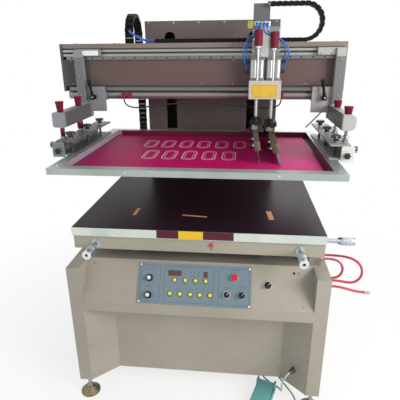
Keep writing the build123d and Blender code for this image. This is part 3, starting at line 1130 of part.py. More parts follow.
# Screen
with BuildPart() as screen_frame:
    block(
        -SCREEN_HALF, SCREEN_HALF, SCREEN_FRONT_Y, SCREEN_FRONT_Y + SCREEN_DEPTH,
        SCREEN_BOTTOM_Z, SCREEN_TOP_Z
    )
    block(
        -SCREEN_HALF + SCREEN_RAIL_WIDTH, SCREEN_HALF - SCREEN_RAIL_WIDTH,
        SCREEN_FRONT_Y + SCREEN_RAIL_WIDTH, SCREEN_FRONT_Y + SCREEN_DEPTH - SCREEN_RAIL_WIDTH,
        SCREEN_BOTTOM_Z, SCREEN_TOP_Z, Mode.SUBTRACT
    )
with BuildPart() as screen_mesh:
    block(
        -SCREEN_HALF + SCREEN_RAIL_WIDTH, SCREEN_HALF - SCREEN_RAIL_WIDTH,
        SCREEN_FRONT_Y + SCREEN_RAIL_WIDTH, SCREEN_FRONT_Y + SCREEN_DEPTH - SCREEN_RAIL_WIDTH,
        SCREEN_BOTTOM_Z, SCREEN_BOTTOM_Z + MESH_THICKNESS
    )

# Foot pedal
pedal_plane = Plane(origin=(315.5, -385.5, 0), x_dir=(cos(radians(-18)), sin(radians(-18)), 0), z_dir=(0, 0, 1))
PEDAL_HALF = 43
PEDAL_LENGTH = 150
PEDAL_PIVOT = (0, -16, 42)


def pedal_block(x0, x1, y0, y1, z0, z1, mode=Mode.ADD):
    """A box in the pedal's own directions."""
    with Locations(pedal_plane.location * Location(((x0 + x1) / 2, (y0 + y1) / 2, (z0 + z1) / 2))):
        Box(x1 - x0, y1 - y0, z1 - z0, mode=mode)


def pedal_pin(x0, x1, radius, mode=Mode.ADD):
    """A round bar on the pedal's pivot axis."""
    middle = Location(((x0 + x1) / 2, PEDAL_PIVOT[1], PEDAL_PIVOT[2]), (0, 90, 0))
    with Locations(pedal_plane.location * middle):
        Cylinder(radius, x1 - x0, mode=mode)


with BuildPart() as pedal_base:
    pedal_block(-PEDAL_HALF, PEDAL_HALF, -PEDAL_LENGTH, 0, 0, 26)
    for x0 in (-PEDAL_HALF, PEDAL_HALF - 7):
        pedal_block(x0, x0 + 7, -28, 0, 26, 52)
    pedal_pin(-PEDAL_HALF, PEDAL_HALF, 4)
with BuildPart() as pedal_plate:
    pedal_block(-PEDAL_HALF + 7.3, PEDAL_HALF - 7.3, -PEDAL_LENGTH, -16, 40, 48)
    pedal_pin(-PEDAL_HALF + 7.3, PEDAL_HALF - 7.3, 8)
    pedal_pin(-PEDAL_HALF, PEDAL_HALF, 4 + SHAFT_FIT, Mode.SUBTRACT)

# Pedal cable, from the gland down to the floor and round to the pedal's side
gland_tip = gland_plane.location * Location((0, 0, GLAND_LENGTH))
gland_end = gland_tip.position
pedal_entry = (pedal_plane.location * Location((PEDAL_HALF, -80, 13))).position
pedal_side = pedal_plane.x_dir
cable_points = [
    gland_end, gland_end + panel_normal * 16,
    (375.3, -513.8, 179.5), (367.5, -517.5, 157.9), (365.6, -512.8, 132.7), (367.4, -502.2, 108.8),
    (370.5, -488, 87.6), (373.6, -470.9, 68.5), (375.2, -452.5, 51.2), (374, -432.4, 35.9),
    (368.8, -411, 22.9), (359.3, -389.6, 13.1), (344.3, -370, 7), (325.4, -352.7, 4.4),
    (307.8, -333.9, 4.1), (296.7, -312.5, 4.4), (301.1, -290.9, 4.5), (318.8, -277.8, 4.3),
    (341.2, -280, 4.1), (360.4, -295.3, 4.1), (374.8, -316.9, 4.1), (386.6, -339.9, 4.2),
    (398.3, -362.3, 4.2), (410.7, -384.2, 4.2), (422.7, -406.4, 4.2), (432.8, -429.7, 4.2),
    (439, -454.7, 4.1), (439, -480.1, 4.1), (430.1, -501.9, 4.3), (411.7, -512.7, 5.4),
    (390.2, -508.8, 7.6), (370.1, -494.9, 10.6), pedal_entry + pedal_side * 20, pedal_entry,
]
with BuildPart() as pedal_cable:
    cord("pedal cable", [tuple(Vector(point)) for point in cable_points], CABLE_RADIUS)

# Red air hoses beside the table
hose_outer = [
    HOSE_START, HOSE_START + Vector(24, 0, 0), (558.9, -374.4, 693.9), (583.6, -385.8, 697.8),
    (606.1, -397.1, 698.7), (627.2, -407.7, 694.4), (644.7, -417.8, 683.1), (654.1, -427.3, 664.4),
    (652.8, -435.1, 642.8), (641.1, -439.6, 623.5), (621.7, -440.1, 611.2), (597.1, -436.5, 608.7),
    PORT_UPPER + Vector(30, 0, 0), PORT_UPPER,
]
hose_inner = [
    HOSE_LOWER_START, HOSE_LOWER_START + Vector(20, 0, 0), (546.9, -387, 682.9), (563.3, -388.7, 679.4),
    (576.1, -391.3, 671.6), (584.8, -394.3, 659.5), (587.9, -397.6, 645), (585, -400.4, 630.3),
    (576, -402.7, 617.2), PORT_LOWER + Vector(22, 0, 2), PORT_LOWER,
]
hose_tail = [
    PORT_TAIL, PORT_TAIL + Vector(18, 0, 0), (582, -441, 587), (612, -444, 580),
    (644, -446, 574), (668, -446, 573),
]
with BuildPart() as air_hoses:
    cord("outer hose", [tuple(Vector(point)) for point in hose_outer], HOSE_RADIUS)
    cord("inner hose", [tuple(Vector(point)) for point in hose_inner], HOSE_RADIUS)
    cord("hose tail", [tuple(Vector(point)) for point in hose_tail], HOSE_RADIUS)
    bar_x(668, 692, -446, 573, 7)

# Blue air tubes from the fitting row to the cylinders
left_x = BOX_LEFT_X + 2 - 13
right_x = BOX_RIGHT_X - 2 + 13
tube_middles = [
    [
        (211.9, -59.2, 1548.5), (197.2, -61.2, 1535.9), (183.1, -62.8, 1522.8), (172.9, -63.5, 1507.4),
        (166, -63.3, 1490.3), (163.2, -62.2, 1472.2), (164.4, -60.1, 1454.1), (168.6, -56.9, 1436.5),
        (174.7, -52.8, 1420.6),
    ],
    [
        (227.4, -57.7, 1549.9), (216.4, -55.7, 1540.2), (205.4, -53.9, 1531.8), (195.8, -52.5, 1522.8),
        (187.6, -51.2, 1512.7), (181.5, -50.2, 1501.2), (177.7, -49.4, 1488.7), (176.4, -48.9, 1475.7),
        (177.5, -48.8, 1462.3),
    ],
    [
        (265.6, -59.1, 1547.1), (284.5, -61.1, 1535.2), (305.6, -62.8, 1526.1), (324.3, -63.7, 1515),
        (339.7, -63.8, 1500.4), (349.9, -62.6, 1481.8), (353, -60.3, 1461), (350, -57.2, 1440.2),
        (343.3, -52.9, 1421.6),
    ],
    [
        (250, -57.8, 1549), (264.4, -55.7, 1538.3), (282.3, -53.6, 1532.8), (299.1, -52.1, 1526.6),
        (314.3, -50.9, 1518), (327, -49.9, 1506.3), (335.5, -49.2, 1491.3), (339.2, -48.9, 1474.8),
        (338.9, -48.9, 1459.8),
    ],
]
tube_ends = (
    (fitting_xs[0], left_x, SIDE_FITTING_Z), (fitting_xs[1], left_x, UPPER_FITTING_Z),
    (fitting_xs[3], right_x, SIDE_FITTING_Z), (fitting_xs[2], right_x, UPPER_FITTING_Z),
)
tube_routes = []
for (start_x, port_x, port_z), middle in zip(tube_ends, tube_middles):
    end_z = port_z + 8
    tube_routes.append([
        (start_x, FITTING_TUBE_Y, FITTING_TUBE_Z), (start_x, FITTING_TUBE_Y, FITTING_TUBE_Z - 6), *middle,
        (port_x, PISTON_Y, end_z + 10), (port_x, PISTON_Y, end_z),
    ])
with BuildPart() as air_tubes:
    for number, points in enumerate(tube_routes):
        cord(f"air tube {number}", points, AIR_TUBE_RADIUS)

# Cables that ride with the beam: the sensor cable and the tubes between the two chains
sensor_route = [
    (SENSOR_X[0], 4, 1270), (SENSOR_X[0], 4, 1260), (-376.3, 3.3, 1242.9), (-353.7, 1.8, 1232.2),
    (-324.6, 0.6, 1229.7), (-294.6, -0.1, 1232), (-265.4, -0.3, 1235.7), (-236.7, -0.3, 1239.3),
    (-208.3, -0.2, 1242.5), (-180, -0.1, 1245.5), (-151.6, 0, 1248.4), (-123.2, 0, 1251.2),
    (-94.8, 0.1, 1253.7), (-66.4, 0.1, 1255.6), (-37.9, 0.2, 1256.6), (-9.4, 0.1, 1256.5),
    (19, 0.1, 1255.1), (47.4, 0, 1252.8), (75.8, -0.1, 1249.7), (104.1, -0.2, 1246.3),
    (132.5, -0.3, 1243.1), (160.9, -0.3, 1240.2), (189.5, -0.3, 1237.8), (218.4, -0.2, 1235.5),
    (248.1, 0.1, 1233.2), (278.9, 0.9, 1231.9), (308.8, 2.2, 1234.7), (331.3, 3.5, 1245.3),
    (SENSOR_X[2], 4, 1262), (SENSOR_X[2], 4, 1270),
]
BUNCH_Y = LIFT_CHAIN_FRONT_Y - CHAIN_THICKNESS / 2 - 0.5
bunch_route = [
    (LIFT_CHAIN_X + 8, BUNCH_Y, 1566), (LIFT_CHAIN_X + 8, BUNCH_Y - 18, 1566), (-349.5, 46.3, 1561.7),
    (-337.8, 34.9, 1554), (-323.2, 30.7, 1544.5), (-307.8, 33.8, 1535.2), (-292.3, 40.4, 1527.6),
    (-276, 46.6, 1522.5), (-257, 50, 1520), (CARRIAGE_CHAIN_LEFT_X, 50, 1520),
]
BUNCH_RADIUS = 5.5
with BuildPart() as beam_cables:
    cord("sensor cable", sensor_route, 3)
    cord("tube bunch", bunch_route, BUNCH_RADIUS)

# Export
nodes = {
    "cabinet": cabinet, "control_plate": control_plate, "column": column,
    "levelling_feet": levelling_feet, "lift_guides": lift_guides, "vacuum_blower": vacuum_blower,
    "air_unit": air_unit, "air_hoses": air_hoses, "pedal_base": pedal_base,
    "pedal_cable": pedal_cable, "lift_chain": lift_chain, "stop_button": stop_button,
    "speed_knob_upper": speed_knobs[0], "speed_knob_lower": speed_knobs[1],
    "selector_mode": selectors[0], "selector_vacuum": selectors[1], "selector_power": selectors[2],
    "pedal_plate": pedal_plate, "cross_slide": cross_slide, "table_frame": table_frame,
    "table_top": table_top, "thimble_left": thimbles[0], "thimble_right": thimbles[1],
    "thimble_side": thimble_side, "beam": beam, "beam_cover": beam_cover,
    "drive_cylinder": drive_cylinder, "lift_frame": lift_frame, "beam_cables": beam_cables,
    "carriage_chain": carriage_chain, "carriage": carriage, "lift_cylinders": lift_cylinders,
    "air_tubes": air_tubes, "squeegee_lift": squeegee_lift, "squeegee": squeegee,
    "flood_lift": flood_lift, "flood_blade": flood_blade,
    "stroke_knob_left": stroke_knobs[0], "stroke_knob_right": stroke_knobs[1],
    "left_arm": arms[0], "right_arm": arms[1], "left_lever": levers[0], "right_lever": levers[1],
    "left_clamp": clamps[0], "right_clamp": clamps[1],
    "screen_frame": screen_frame, "screen_mesh": screen_mesh,
}
for number, key in enumerate(keys, start=1):
    nodes[f"key_{number}"] = key
for number, height_knob in enumerate(height_knobs, start=1):
    nodes[f"height_knob_{number}"] = height_knob

os.makedirs("parts", exist_ok=True)
for node_name, node in nodes.items():
    node.part.label = node_name
    export_step(node.part, f"parts/{node_name}.step")
print(len(nodes), "nodes")
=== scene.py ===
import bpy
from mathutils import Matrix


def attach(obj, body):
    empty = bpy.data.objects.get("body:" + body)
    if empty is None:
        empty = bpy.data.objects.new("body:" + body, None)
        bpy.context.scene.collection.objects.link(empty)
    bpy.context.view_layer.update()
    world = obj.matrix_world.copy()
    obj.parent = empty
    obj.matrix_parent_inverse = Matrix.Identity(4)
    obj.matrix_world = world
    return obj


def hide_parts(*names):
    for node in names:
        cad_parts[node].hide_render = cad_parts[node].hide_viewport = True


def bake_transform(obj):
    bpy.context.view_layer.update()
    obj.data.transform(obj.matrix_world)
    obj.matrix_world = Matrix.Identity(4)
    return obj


bl_info = {
    "name": "Screen Printing Machine",
    "version": (1, 0, 0),
    "blender": (4, 5, 0),
    "location": "View3D > Sidebar > Printer",
    "description": "Finishes and fine pieces of a flat-bed screen printing machine, on its packed solids",
    "category": "Object",
}

from itertools import product
from math import cos, pi, radians, sin

import bpy
import numpy as np
from bpy.props import FloatProperty, FloatVectorProperty, IntProperty, PointerProperty
from mathutils import Matrix

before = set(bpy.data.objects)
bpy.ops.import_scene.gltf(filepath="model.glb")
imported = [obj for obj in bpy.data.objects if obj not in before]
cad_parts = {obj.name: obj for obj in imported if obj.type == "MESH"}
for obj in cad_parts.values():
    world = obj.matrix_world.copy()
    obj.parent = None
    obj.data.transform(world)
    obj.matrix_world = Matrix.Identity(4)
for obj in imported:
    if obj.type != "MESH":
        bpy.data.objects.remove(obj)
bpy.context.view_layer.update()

# Directions, and axes for an upright face: their rows are across it, up it and out of it
UP, DOWN, FRONT = (0, 0, 1), (0, 0, -1), (0, -1, 0)
FACING_FRONT = np.array([[1, 0, 0], [0, 0, 1], [0, -1, 0]])
BOTH = True  # marks a zone that is repeated on the other side of the middle

# The camera, fitted to points of the photograph: yaw, pitch and roll in degrees, and a lens on a sensor 36 mm wide
CAMERA_PLACE, CAMERA_TURN, CAMERA_LENS = (0.1728, -1.9013, 1.4773), (6.14, 20.06, -0.47), 36.77

# The stage: each lamp's place, watts, size and tint, and how the seen floor fades into the white surroundings
LAMPS = {
    "key_lamp": ((2.6, -2.1, 2.1), 112.0, 1.8, (1.0, 0.985, 0.95)),
    "fill_lamp": ((-2.8, -2.6, 2.2), 18.0, 2.8, (0.92, 0.965, 1.0)),
    "rear_lamp": ((0.6, 3.0, 3.2), 45.0, 2.6, (1.0, 1.0, 1.0)),
}
LAMP_TARGET = np.array([0.0, 0.0, 0.9])
FLOOR_REACH, FLOOR_LEVEL = 14.0, -0.0005
FLOOR_FADE, FLOOR_GLOW = (0.7, 2.0), (0.74, 1.0)
SOFT_LIGHT, WHITE_LIGHT = ((0.97, 0.985, 1.0, 1.0), 0.50), ((1.0, 1.0, 1.0, 1.0), 1.0)

# Places shared with the solids, in metres
FASCIA_ORIGIN = np.array([0.0, -0.516, 0.511])
FASCIA_AXES = np.array([[1, 0, 0], [0, 0.55727, 0.83034], [0, -0.83034, 0.55727]])
OUT, PLATE_TOP = FASCIA_AXES[2], 0.003  # straight out of the fascia, and the control plate's thickness
KEY_PLACES = [(x, 0.102) for x in (-0.089, -0.045, -0.003, 0.039)]
KEY_PLACES += [(x, 0.047) for x in (-0.105, -0.064, -0.022, 0.017, 0.058)]
SPEED_PLACES = {"speed_knob_upper": (-0.193, 0.106), "speed_knob_lower": (-0.194, 0.037)}
SELECTOR_PLACES = {  # across, up the slope, level of the seat, and radius
    "selector_mode": (0.125, 0.052, 0.003, 0.012),
    "selector_vacuum": (0.186, 0.053, 0.008, 0.0125),
    "selector_power": (0.288, 0.098, 0.0, 0.0145),
}
# Across and foot level of the stroke knobs, and across and depth of the height knobs
STROKE_KNOBS = {"stroke_knob_left": (0.225, 1.495), "stroke_knob_right": (0.290, 1.486)}
HEIGHT_KNOBS = {
    "height_knob_1": (-0.563, -0.300), "height_knob_2": (-0.563, -0.110),
    "height_knob_3": (0.563, -0.300), "height_knob_4": (0.563, -0.110),
}


def colour_value(label, description, value):
    """A colour that a user may change."""
    return FloatVectorProperty(
        name=label, description=description, subtype="COLOR", size=3, min=0.0, max=1.0, default=value
    )


def length_value(label, description, value):
    """A length in metres that a user may change."""
    return FloatProperty(
        name=label, description=description, subtype="DISTANCE", unit="LENGTH", min=0.0, default=value
    )


class PrinterColours(bpy.types.PropertyGroup):
    """Colours of the machine's finishes."""

    cabinet: colour_value("Cabinet", "Beige paint of the cabinet", (0.345, 0.315, 0.262))
    underframe: colour_value("Underframe", "Paint of the table's underframe", (0.345, 0.32, 0.255))
    column: colour_value("Column", "Paint of the column", (0.152, 0.121, 0.116))
    beam: colour_value("Beam", "Paint of the beam's top and ends", (0.225, 0.185, 0.165))
    cover: colour_value("Beam cover", "Paint of the beam's front cover", (0.132, 0.089, 0.084))
    panel: colour_value("Control plate", "Blue-grey print of the control plate", (0.155, 0.215, 0.255))
    panel_line: colour_value("Plate lines", "Dark lines round the control groups", (0.035, 0.075, 0.12))
    key: colour_value("Keys", "Yellow of the keys", (0.72, 0.66, 0.06))
    stop: colour_value("Stop button", "Red of the stop button", (0.62, 0.010, 0.022))
    display: colour_value("Displays", "Dark red of the display windows", (0.10, 0.005, 0.010))
    top_sheet: colour_value("Table sheet", "Dark plum top sheet of the table", (0.021, 0.0125, 0.0195))
    table_edge: colour_value("Table edge", "Aluminium edge of the table", (0.66, 0.72, 0.66))
    tape: colour_value("Tape", "Orange register tape on the table", (0.92, 0.50, 0.20))
    edge_label: colour_value("Edge band", "Bare dark band on the table's front edge", (0.085, 0.022, 0.032))
    yellow_label: colour_value("Yellow labels", "Bare yellow labels", (0.70, 0.46, 0.03))
    # The screen is darker at the left with painted shade and lighter at the right with painted light
    mesh_left_painted_shade: colour_value("Screen, left", "Colour of the coated mesh at the left", (0.36, 0.015, 0.110))
    mesh_middle: colour_value("Screen, middle", "Colour of the coated mesh in the middle", (0.50, 0.006, 0.115))
    mesh_right_painted_light: colour_value("Screen, right", "Colour of the coated mesh at the right", (0.80, 0.050, 0.27))
    frame_metal: colour_value("Frame", "Aluminium of the screen frame", (0.42, 0.47, 0.445))
    knob: colour_value("Crimson knobs", "Crimson of the stroke and height knobs", (0.165, 0.007, 0.024))
    black: colour_value("Black plastic", "Moulded black plastic", (0.012, 0.012, 0.013))
    arm: colour_value("Arms", "Light grey of the arms and clamps", (0.40, 0.40, 0.39))
    hose: colour_value("Hoses", "Red of the air hoses", (0.52, 0.050, 0.090))
    tube: colour_value("Air tubes", "Blue of the air tubes", (0.012, 0.125, 0.50))
    pedal: colour_value("Pedal", "Teal paint of the foot pedal", (0.15, 0.41, 0.41))


class PrinterSizes(bpy.types.PropertyGroup):
    """Sizes of the fine pieces."""

    chain_pitch: length_value("Chain pitch", "Length of one link of the cable chains", 0.024)
    tape_thickness: length_value("Tape thickness", "Thickness of the register tape", 0.0003)
    print_line: length_value("Printed line", "Width of the open lines in the mesh", 0.0038)
    key_collar: length_value("Key collar", "Width of the collar round each key", 0.0022)
    knob_flutes: IntProperty(name="Knob flutes", description="Flutes round a crimson knob", default=20, min=6, max=60)


def colours():
    """The colours in use."""
    return bpy.context.scene.printer_colours


def sizes():
    """The sizes in use."""
    return bpy.context.scene.printer_sizes


# Finishes


class Finish:
    """A finish in the making: one shader whose colour, metal, roughness and relief are laid on in layers."""

    def __init__(self, name, colour, roughness, metal=0.0, coat=0.0, specular=0.5):
        self.material = bpy.data.materials.new(name)
        self.material.use_nodes = True
        self.tree = self.material.node_tree
        self.shader = self.tree.nodes["Principled BSDF"]
        self.place = self.tree.nodes.new("ShaderNodeTexCoord").outputs["Object"]
        self.values = {"Base Color": (*colour, 1.0), "Metallic": metal, "Roughness": roughness}
        for socket, value in self.values.items():
            self.shader.inputs[socket].default_value = value
        self.shader.inputs["Coat Weight"].default_value = coat
        self.shader.inputs["Specular IOR Level"].default_value = specular
        self.material.diffuse_color = (*colour, 1.0)
        self.normal = None

    def feed(self, socket, value):
        """Links a socket, or sets it where the value is a plain one."""
        if isinstance(value, bpy.types.NodeSocket):
            self.tree.links.new(value, socket)
        elif value is not None:
            socket.default_value = value

    def add(self, kind, *inputs, **settings):
        """A new node with its settings, its inputs filled in order."""
        node = self.tree.nodes.new("ShaderNode" + kind)
        for name, value in settings.items():
            setattr(node, name, value)
        for socket, value in zip(node.inputs, inputs):
            self.feed(socket, value)
        return node

    def sum(self, operation, first, second=None):
        """One step of arithmetic."""
        return self.add("Math", first, second, operation=operation).outputs[0]

    def noise(self, size, detail=3.0, stretch=(1, 1, 1)):
        """Soft noise of a feature size in metres, drawn out along some directions."""
        spread = self.add("Mapping", self.place)
        spread.inputs["Scale"].default_value = [1 / (size * part) for part in stretch]
        cloud = self.add("TexNoise", spread.outputs[0])
        cloud.inputs["Scale"].default_value = 1.0
        cloud.inputs["Detail"].default_value = detail
        return cloud.outputs[0]

    def fade(self, value, low, high):
        """The value's way from low to high, between 0 and 1."""
        return self.add("MapRange", value, low, high, 0.0, 1.0).outputs[0]

    def mix(self, socket, factor, value):
        """Turns one of the shader's values to another where the factor is 1."""
        coloured = socket == "Base Color"
        node = self.add("Mix", data_type="RGBA" if coloured else "FLOAT")
        first, second, result = (6, 7, 2) if coloured else (2, 3, 0)
        self.feed(node.inputs[0], factor)
        self.feed(node.inputs[first], self.values[socket])
        if coloured and not isinstance(value, bpy.types.NodeSocket):
            value = (*value, 1.0)
        self.feed(node.inputs[second], value)
        self.values[socket] = node.outputs[result]
        self.tree.links.new(node.outputs[result], self.shader.inputs[socket])

    def inside(self, low, high, mirrored=False):
        """1 inside a box of the piece's own coordinates and 0 outside.

        The distance from the box's middle, less the half sizes, is below 0 in every direction inside it.
        """
        low, high = np.array(low, float), np.array(high, float)
        place = self.place
        if mirrored:
            parts = self.add("SeparateXYZ", place).outputs
            place = self.add("CombineXYZ", self.sum("ABSOLUTE", parts[0]), parts[1], parts[2]).outputs[0]
        moved = self.add("VectorMath", place, tuple((low + high) / 2), operation="SUBTRACT").outputs[0]
        away = self.add("VectorMath", moved, operation="ABSOLUTE").outputs[0]
        over = self.add("VectorMath", away, tuple((high - low) / 2), operation="SUBTRACT").outputs[0]
        parts = self.add("SeparateXYZ", over).outputs
        largest = self.sum("MAXIMUM", self.sum("MAXIMUM", parts[0], parts[1]), parts[2])
        return self.sum("LESS_THAN", largest, 0.0)

    def zone(self, low, high, colour, metal=0.0, roughness=0.45, mirrored=False):
        """Another colour, metal and roughness inside a box."""
        mask = self.inside(low, high, mirrored)
        self.mix("Base Color", mask, colour)
        self.mix("Metallic", mask, metal)
        self.mix("Roughness", mask, roughness)

    def zones(self, *rows):
        """Several zones, each with its lowest and highest corner, colour, metal, roughness and perhaps BOTH."""
        for row in rows:
            self.zone(*row)
        return self

    def shade(self, size, amount, stretch=(1, 1, 1), low=0.4, high=0.7):
        """Slow changes of shade: the colour is darkened by an amount where the noise is high."""
        mask = self.fade(self.noise(size, 4.0, stretch), low, high)
        darker = self.add("HueSaturation", 0.5, 1.0, 1.0 - amount, 1.0)
        self.feed(darker.inputs["Color"], self.values["Base Color"])
        self.mix("Base Color", mask, darker.outputs[0])

    def wear(self, size, amount, stretch=(1, 1, 1)):
        """Duller and shinier places."""
        mask = self.fade(self.noise(size, 5.0, stretch), 0.35, 0.75)
        self.mix("Roughness", mask, self.sum("ADD", self.values["Roughness"], amount))

    def soften(self, radius):
        """Small edge roundings in the shading."""
        node = self.add("Bevel", radius, samples=4)
        self.normal = node.outputs[0]
        self.tree.links.new(self.normal, self.shader.inputs["Normal"])

    def relief(self, height, depth, strength=1.0):
        """A bump of a height map, on what relief there is."""
        node = self.add("Bump")
        node.inputs["Strength"].default_value = strength
        node.inputs["Distance"].default_value = depth
        self.feed(node.inputs["Height"], height)
        if self.normal is not None:
            self.feed(node.inputs["Normal"], self.normal)
        self.normal = node.outputs[0]
        self.tree.links.new(self.normal, self.shader.inputs["Normal"])


def painted(name, colour, roughness=0.42, edge=0.0016, specular=0.4):
    """Sprayed paint: slow shade changes, orange peel, scuffs and softened edges."""
    finish = Finish(name, colour, roughness, specular=specular)
    finish.soften(edge)
    finish.shade(0.35, 0.12)
    finish.shade(0.03, 0.05, low=0.5, high=0.8)
    finish.wear(0.08, 0.10)
    finish.relief(finish.noise(0.0028, 2.0), 0.00006, 0.6)
    return finish


def bare_metal(name, colour, roughness, grain=(1, 1, 1)):
    """Metal with a drawn grain: long thin noise in the roughness and the relief."""
    finish = Finish(name, colour, roughness, 1.0)
    finish.soften(0.0006)
    finish.shade(0.15, 0.16)
    finish.wear(0.0012, 0.10, grain)
    finish.relief(finish.noise(0.0009, 2.0, grain), 0.00003, 0.5)
    return finish


def moulded(name, colour, roughness=0.4, specular=0.35):
    """Moulded plastic: a fine spark-eroded grain and faint handling marks."""
    finish = Finish(name, colour, roughness, specular=specular)
    finish.soften(0.0005)
    finish.shade(0.02, 0.10)
    finish.wear(0.015, 0.15)
    finish.relief(finish.noise(0.0009, 2.0), 0.00005, 0.5)
    return finish


def rubbery(name, colour, roughness):
    """Extruded hose and cable skin: soft shine and faint dust."""
    finish = Finish(name, colour, roughness)
    finish.shade(0.05, 0.16)
    finish.wear(0.02, 0.16)
    finish.relief(finish.noise(0.0015, 2.0), 0.00004, 0.5)
    return finish


def plain(name, colour, roughness, size, amount, coat=0.0, stretch=(1, 1, 1)):
    """One colour with slow changes of shade."""
    finish = Finish(name, colour, roughness, coat=coat)
    finish.shade(size, amount, stretch)
    return finish


def dress(node_name, finish):
    """Gives a solid its finish."""
    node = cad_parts[node_name]
    if node.material_slots:
        node.material_slots[0].link = "OBJECT"
        node.material_slots[0].material = finish.material
    else:
        node.data.materials.append(finish.material)


# Shapes, as points and faces


def basis(axis, across=None):
    """Three perpendicular unit directions: the last is the axis, the first is the given one made square to it."""
    third = np.array(axis, float)
    third /= np.linalg.norm(third)
    if across is None:
        across = (1, 0, 0) if abs(third[0]) < 0.9 else (0, 1, 0)
    first = np.array(across, float)
    first -= third * (first @ third)
    first /= np.linalg.norm(first)
    return np.array([first, np.cross(third, first), third])


def lattice(rings, wrap_rows=False):
    """Faces over rows of points: each row is a closed ring, and flat caps close the first and the last one."""
    rows, columns = rings.shape[:2]
    row = np.arange(rows if wrap_rows else rows - 1)[:, None]
    column = np.arange(columns)[None]
    near, far, right = row * columns, (row + 1) % rows * columns, (column + 1) % columns
    faces = np.stack([near + column, near + right, far + right, far + column], -1).reshape(-1, 4).tolist()
    if not wrap_rows:
        faces.append(list(range(columns))[::-1])
        faces.append(list(range((rows - 1) * columns, rows * columns)))
    return rings.reshape(-1, 3), faces


def turned(profile, origin, axis, count, flutes=0, depth=0.0, span=(0, 0)):
    """A turned shape: radii and heights carried round an axis.

    Between the heights of the span, each flute takes off depth times half of 1 minus the cosine of the turned angle.
    """
    radius, height = np.array(profile, float).T
    angle = np.linspace(0, 2 * pi, count, endpoint=False)
    fluted = ((height >= span[0] - 1e-9) & (height <= span[1] + 1e-9))[:, None]
    reach = radius[:, None] - fluted * depth * (0.5 - 0.5 * np.cos(flutes * angle))[None]
    level = np.repeat(height[:, None], count, 1)
    local = np.stack([reach * np.cos(angle), reach * np.sin(angle), level], -1)
    return lattice(local @ basis(axis) + np.array(origin, float))


def rounded(width, depth, corner, steps=5):
    """The outline of a rectangle with quarter circles at its corners, counter-clockwise round the origin."""
    turn = np.linspace(0, pi / 2, steps)
    arcs = []
    for quarter, (right, up) in enumerate(((1, 1), (-1, 1), (-1, -1), (1, -1))):
        angle = turn + quarter * pi / 2
        arcs.append(np.stack([
            right * (width / 2 - corner) + corner * np.cos(angle), up * (depth / 2 - corner) + corner * np.sin(angle)
        ], -1))
    return np.concatenate(arcs)


def drawn_in(outline, amount):
    """An outline moved inwards along its own normals."""
    run = np.roll(outline, -1, 0) - np.roll(outline, 1, 0)
    normal = np.stack([run[:, 1], -run[:, 0]], -1)
    return outline - amount * normal / np.linalg.norm(normal, axis=1, keepdims=True)


def circle(radius, count):
    """A circle's outline."""
    angle = np.linspace(0, 2 * pi, count, endpoint=False)
    return radius * np.stack([np.cos(angle), np.sin(angle)], -1)


def arc(centre, radius, first, last, count=40):
    """Points along part of a circle, from one angle to another in degrees."""
    turn = np.linspace(radians(first), radians(last), count)
    return np.array(centre) + radius * np.stack([np.cos(turn), np.sin(turn)], -1)


def raised(outline, height):
    """A flat outline at a height."""
    return np.column_stack([outline, np.full(len(outline), height)])


def slab(outline, low, high, edge, origin=(0, 0, 0), axes=np.eye(3)):
    """A plate with that outline between two heights, its two rims cut back by edge."""
    inner = drawn_in(outline, edge)
    rows = [raised(inner, low), raised(outline, low + edge), raised(outline, high - edge), raised(inner, high)]
    return lattice(np.stack(rows) @ axes + np.array(origin, float))


def plate(width, depth, corner, heights, edge, origin=(0, 0, 0), axes=np.eye(3), steps=3):
    """A plate with round corners between two heights."""
    return slab(rounded(width, depth, corner, steps), *heights, edge, origin, axes)


def ribbon(outline, width, low, high, origin=(0, 0, 0), axes=np.eye(3)):
    """A closed band of that width inside an outline, between two heights."""
    inner = drawn_in(outline, width)
    rows = [raised(outline, low), raised(outline, high), raised(inner, high), raised(inner, low)]
    return lattice(np.stack(rows) @ axes + np.array(origin, float), wrap_rows=True)


def flat_grid(across, along, height):
    """Points and faces of a level grid."""
    x, y = np.meshgrid(across, along)
    points = np.stack([x, y, np.full_like(x, height)], -1).reshape(-1, 3)
    row, column = np.meshgrid(np.arange(len(along) - 1), np.arange(len(across) - 1), indexing="ij")
    corner = (row * len(across) + column).reshape(-1, 1)
    return points, corner + np.array([[0, 1, len(across) + 1, len(across)]])


def grid(*axes):
    """Every place whose coordinates are taken from the number or numbers given for each axis."""
    return list(product(*(np.atleast_1d(values) for values in axes)))


def piece(name, body, finish, slot, *shapes, replaces=()):
    """One object made of several shapes, riding on a body, or on none."""
    points, faces, start = [], [], 0
    for shape_points, shape_faces in shapes:
        points.append(shape_points)
        faces += [[index + start for index in face] for face in shape_faces]
        start += len(shape_points)
    mesh = bpy.data.meshes.new(name)
    mesh.from_pydata(np.concatenate(points).tolist(), [], faces)
    mesh.validate()
    mesh.materials.append(finish.material)
    mesh.shade_smooth()
    mesh.set_sharp_from_angle(angle=radians(35))
    made = bpy.data.objects.new(name, mesh)
    bpy.context.scene.collection.objects.link(made)
    if body:
        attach(made, body)
    if replaces:
        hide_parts(*replaces)
    return made


def screws(places, axis, radius=0.005, height=0.003):
    """Button-head screws: a dome with a sunk socket at each place."""
    profile = [
        (radius, 0), (radius, 0.25 * height), (0.86 * radius, 0.72 * height), (0.55 * radius, height),
        (0.50 * radius, height), (0.48 * radius, 0.55 * height),
    ]
    return [turned(profile, place, axis, 18) for place in places]


def screw_set(name, body, finish, *rows, slot="steel"):
    """One object of screws: each row holds their places, their axis and perhaps the head's radius and height."""
    return piece(name, body, finish, slot, *[head for row in rows for head in screws(*row)])


def on_fascia(x, s, height):
    """A place on the sloping fascia: across, up the slope and out of it."""
    return FASCIA_ORIGIN + np.array([x, s, height]) @ FASCIA_AXES


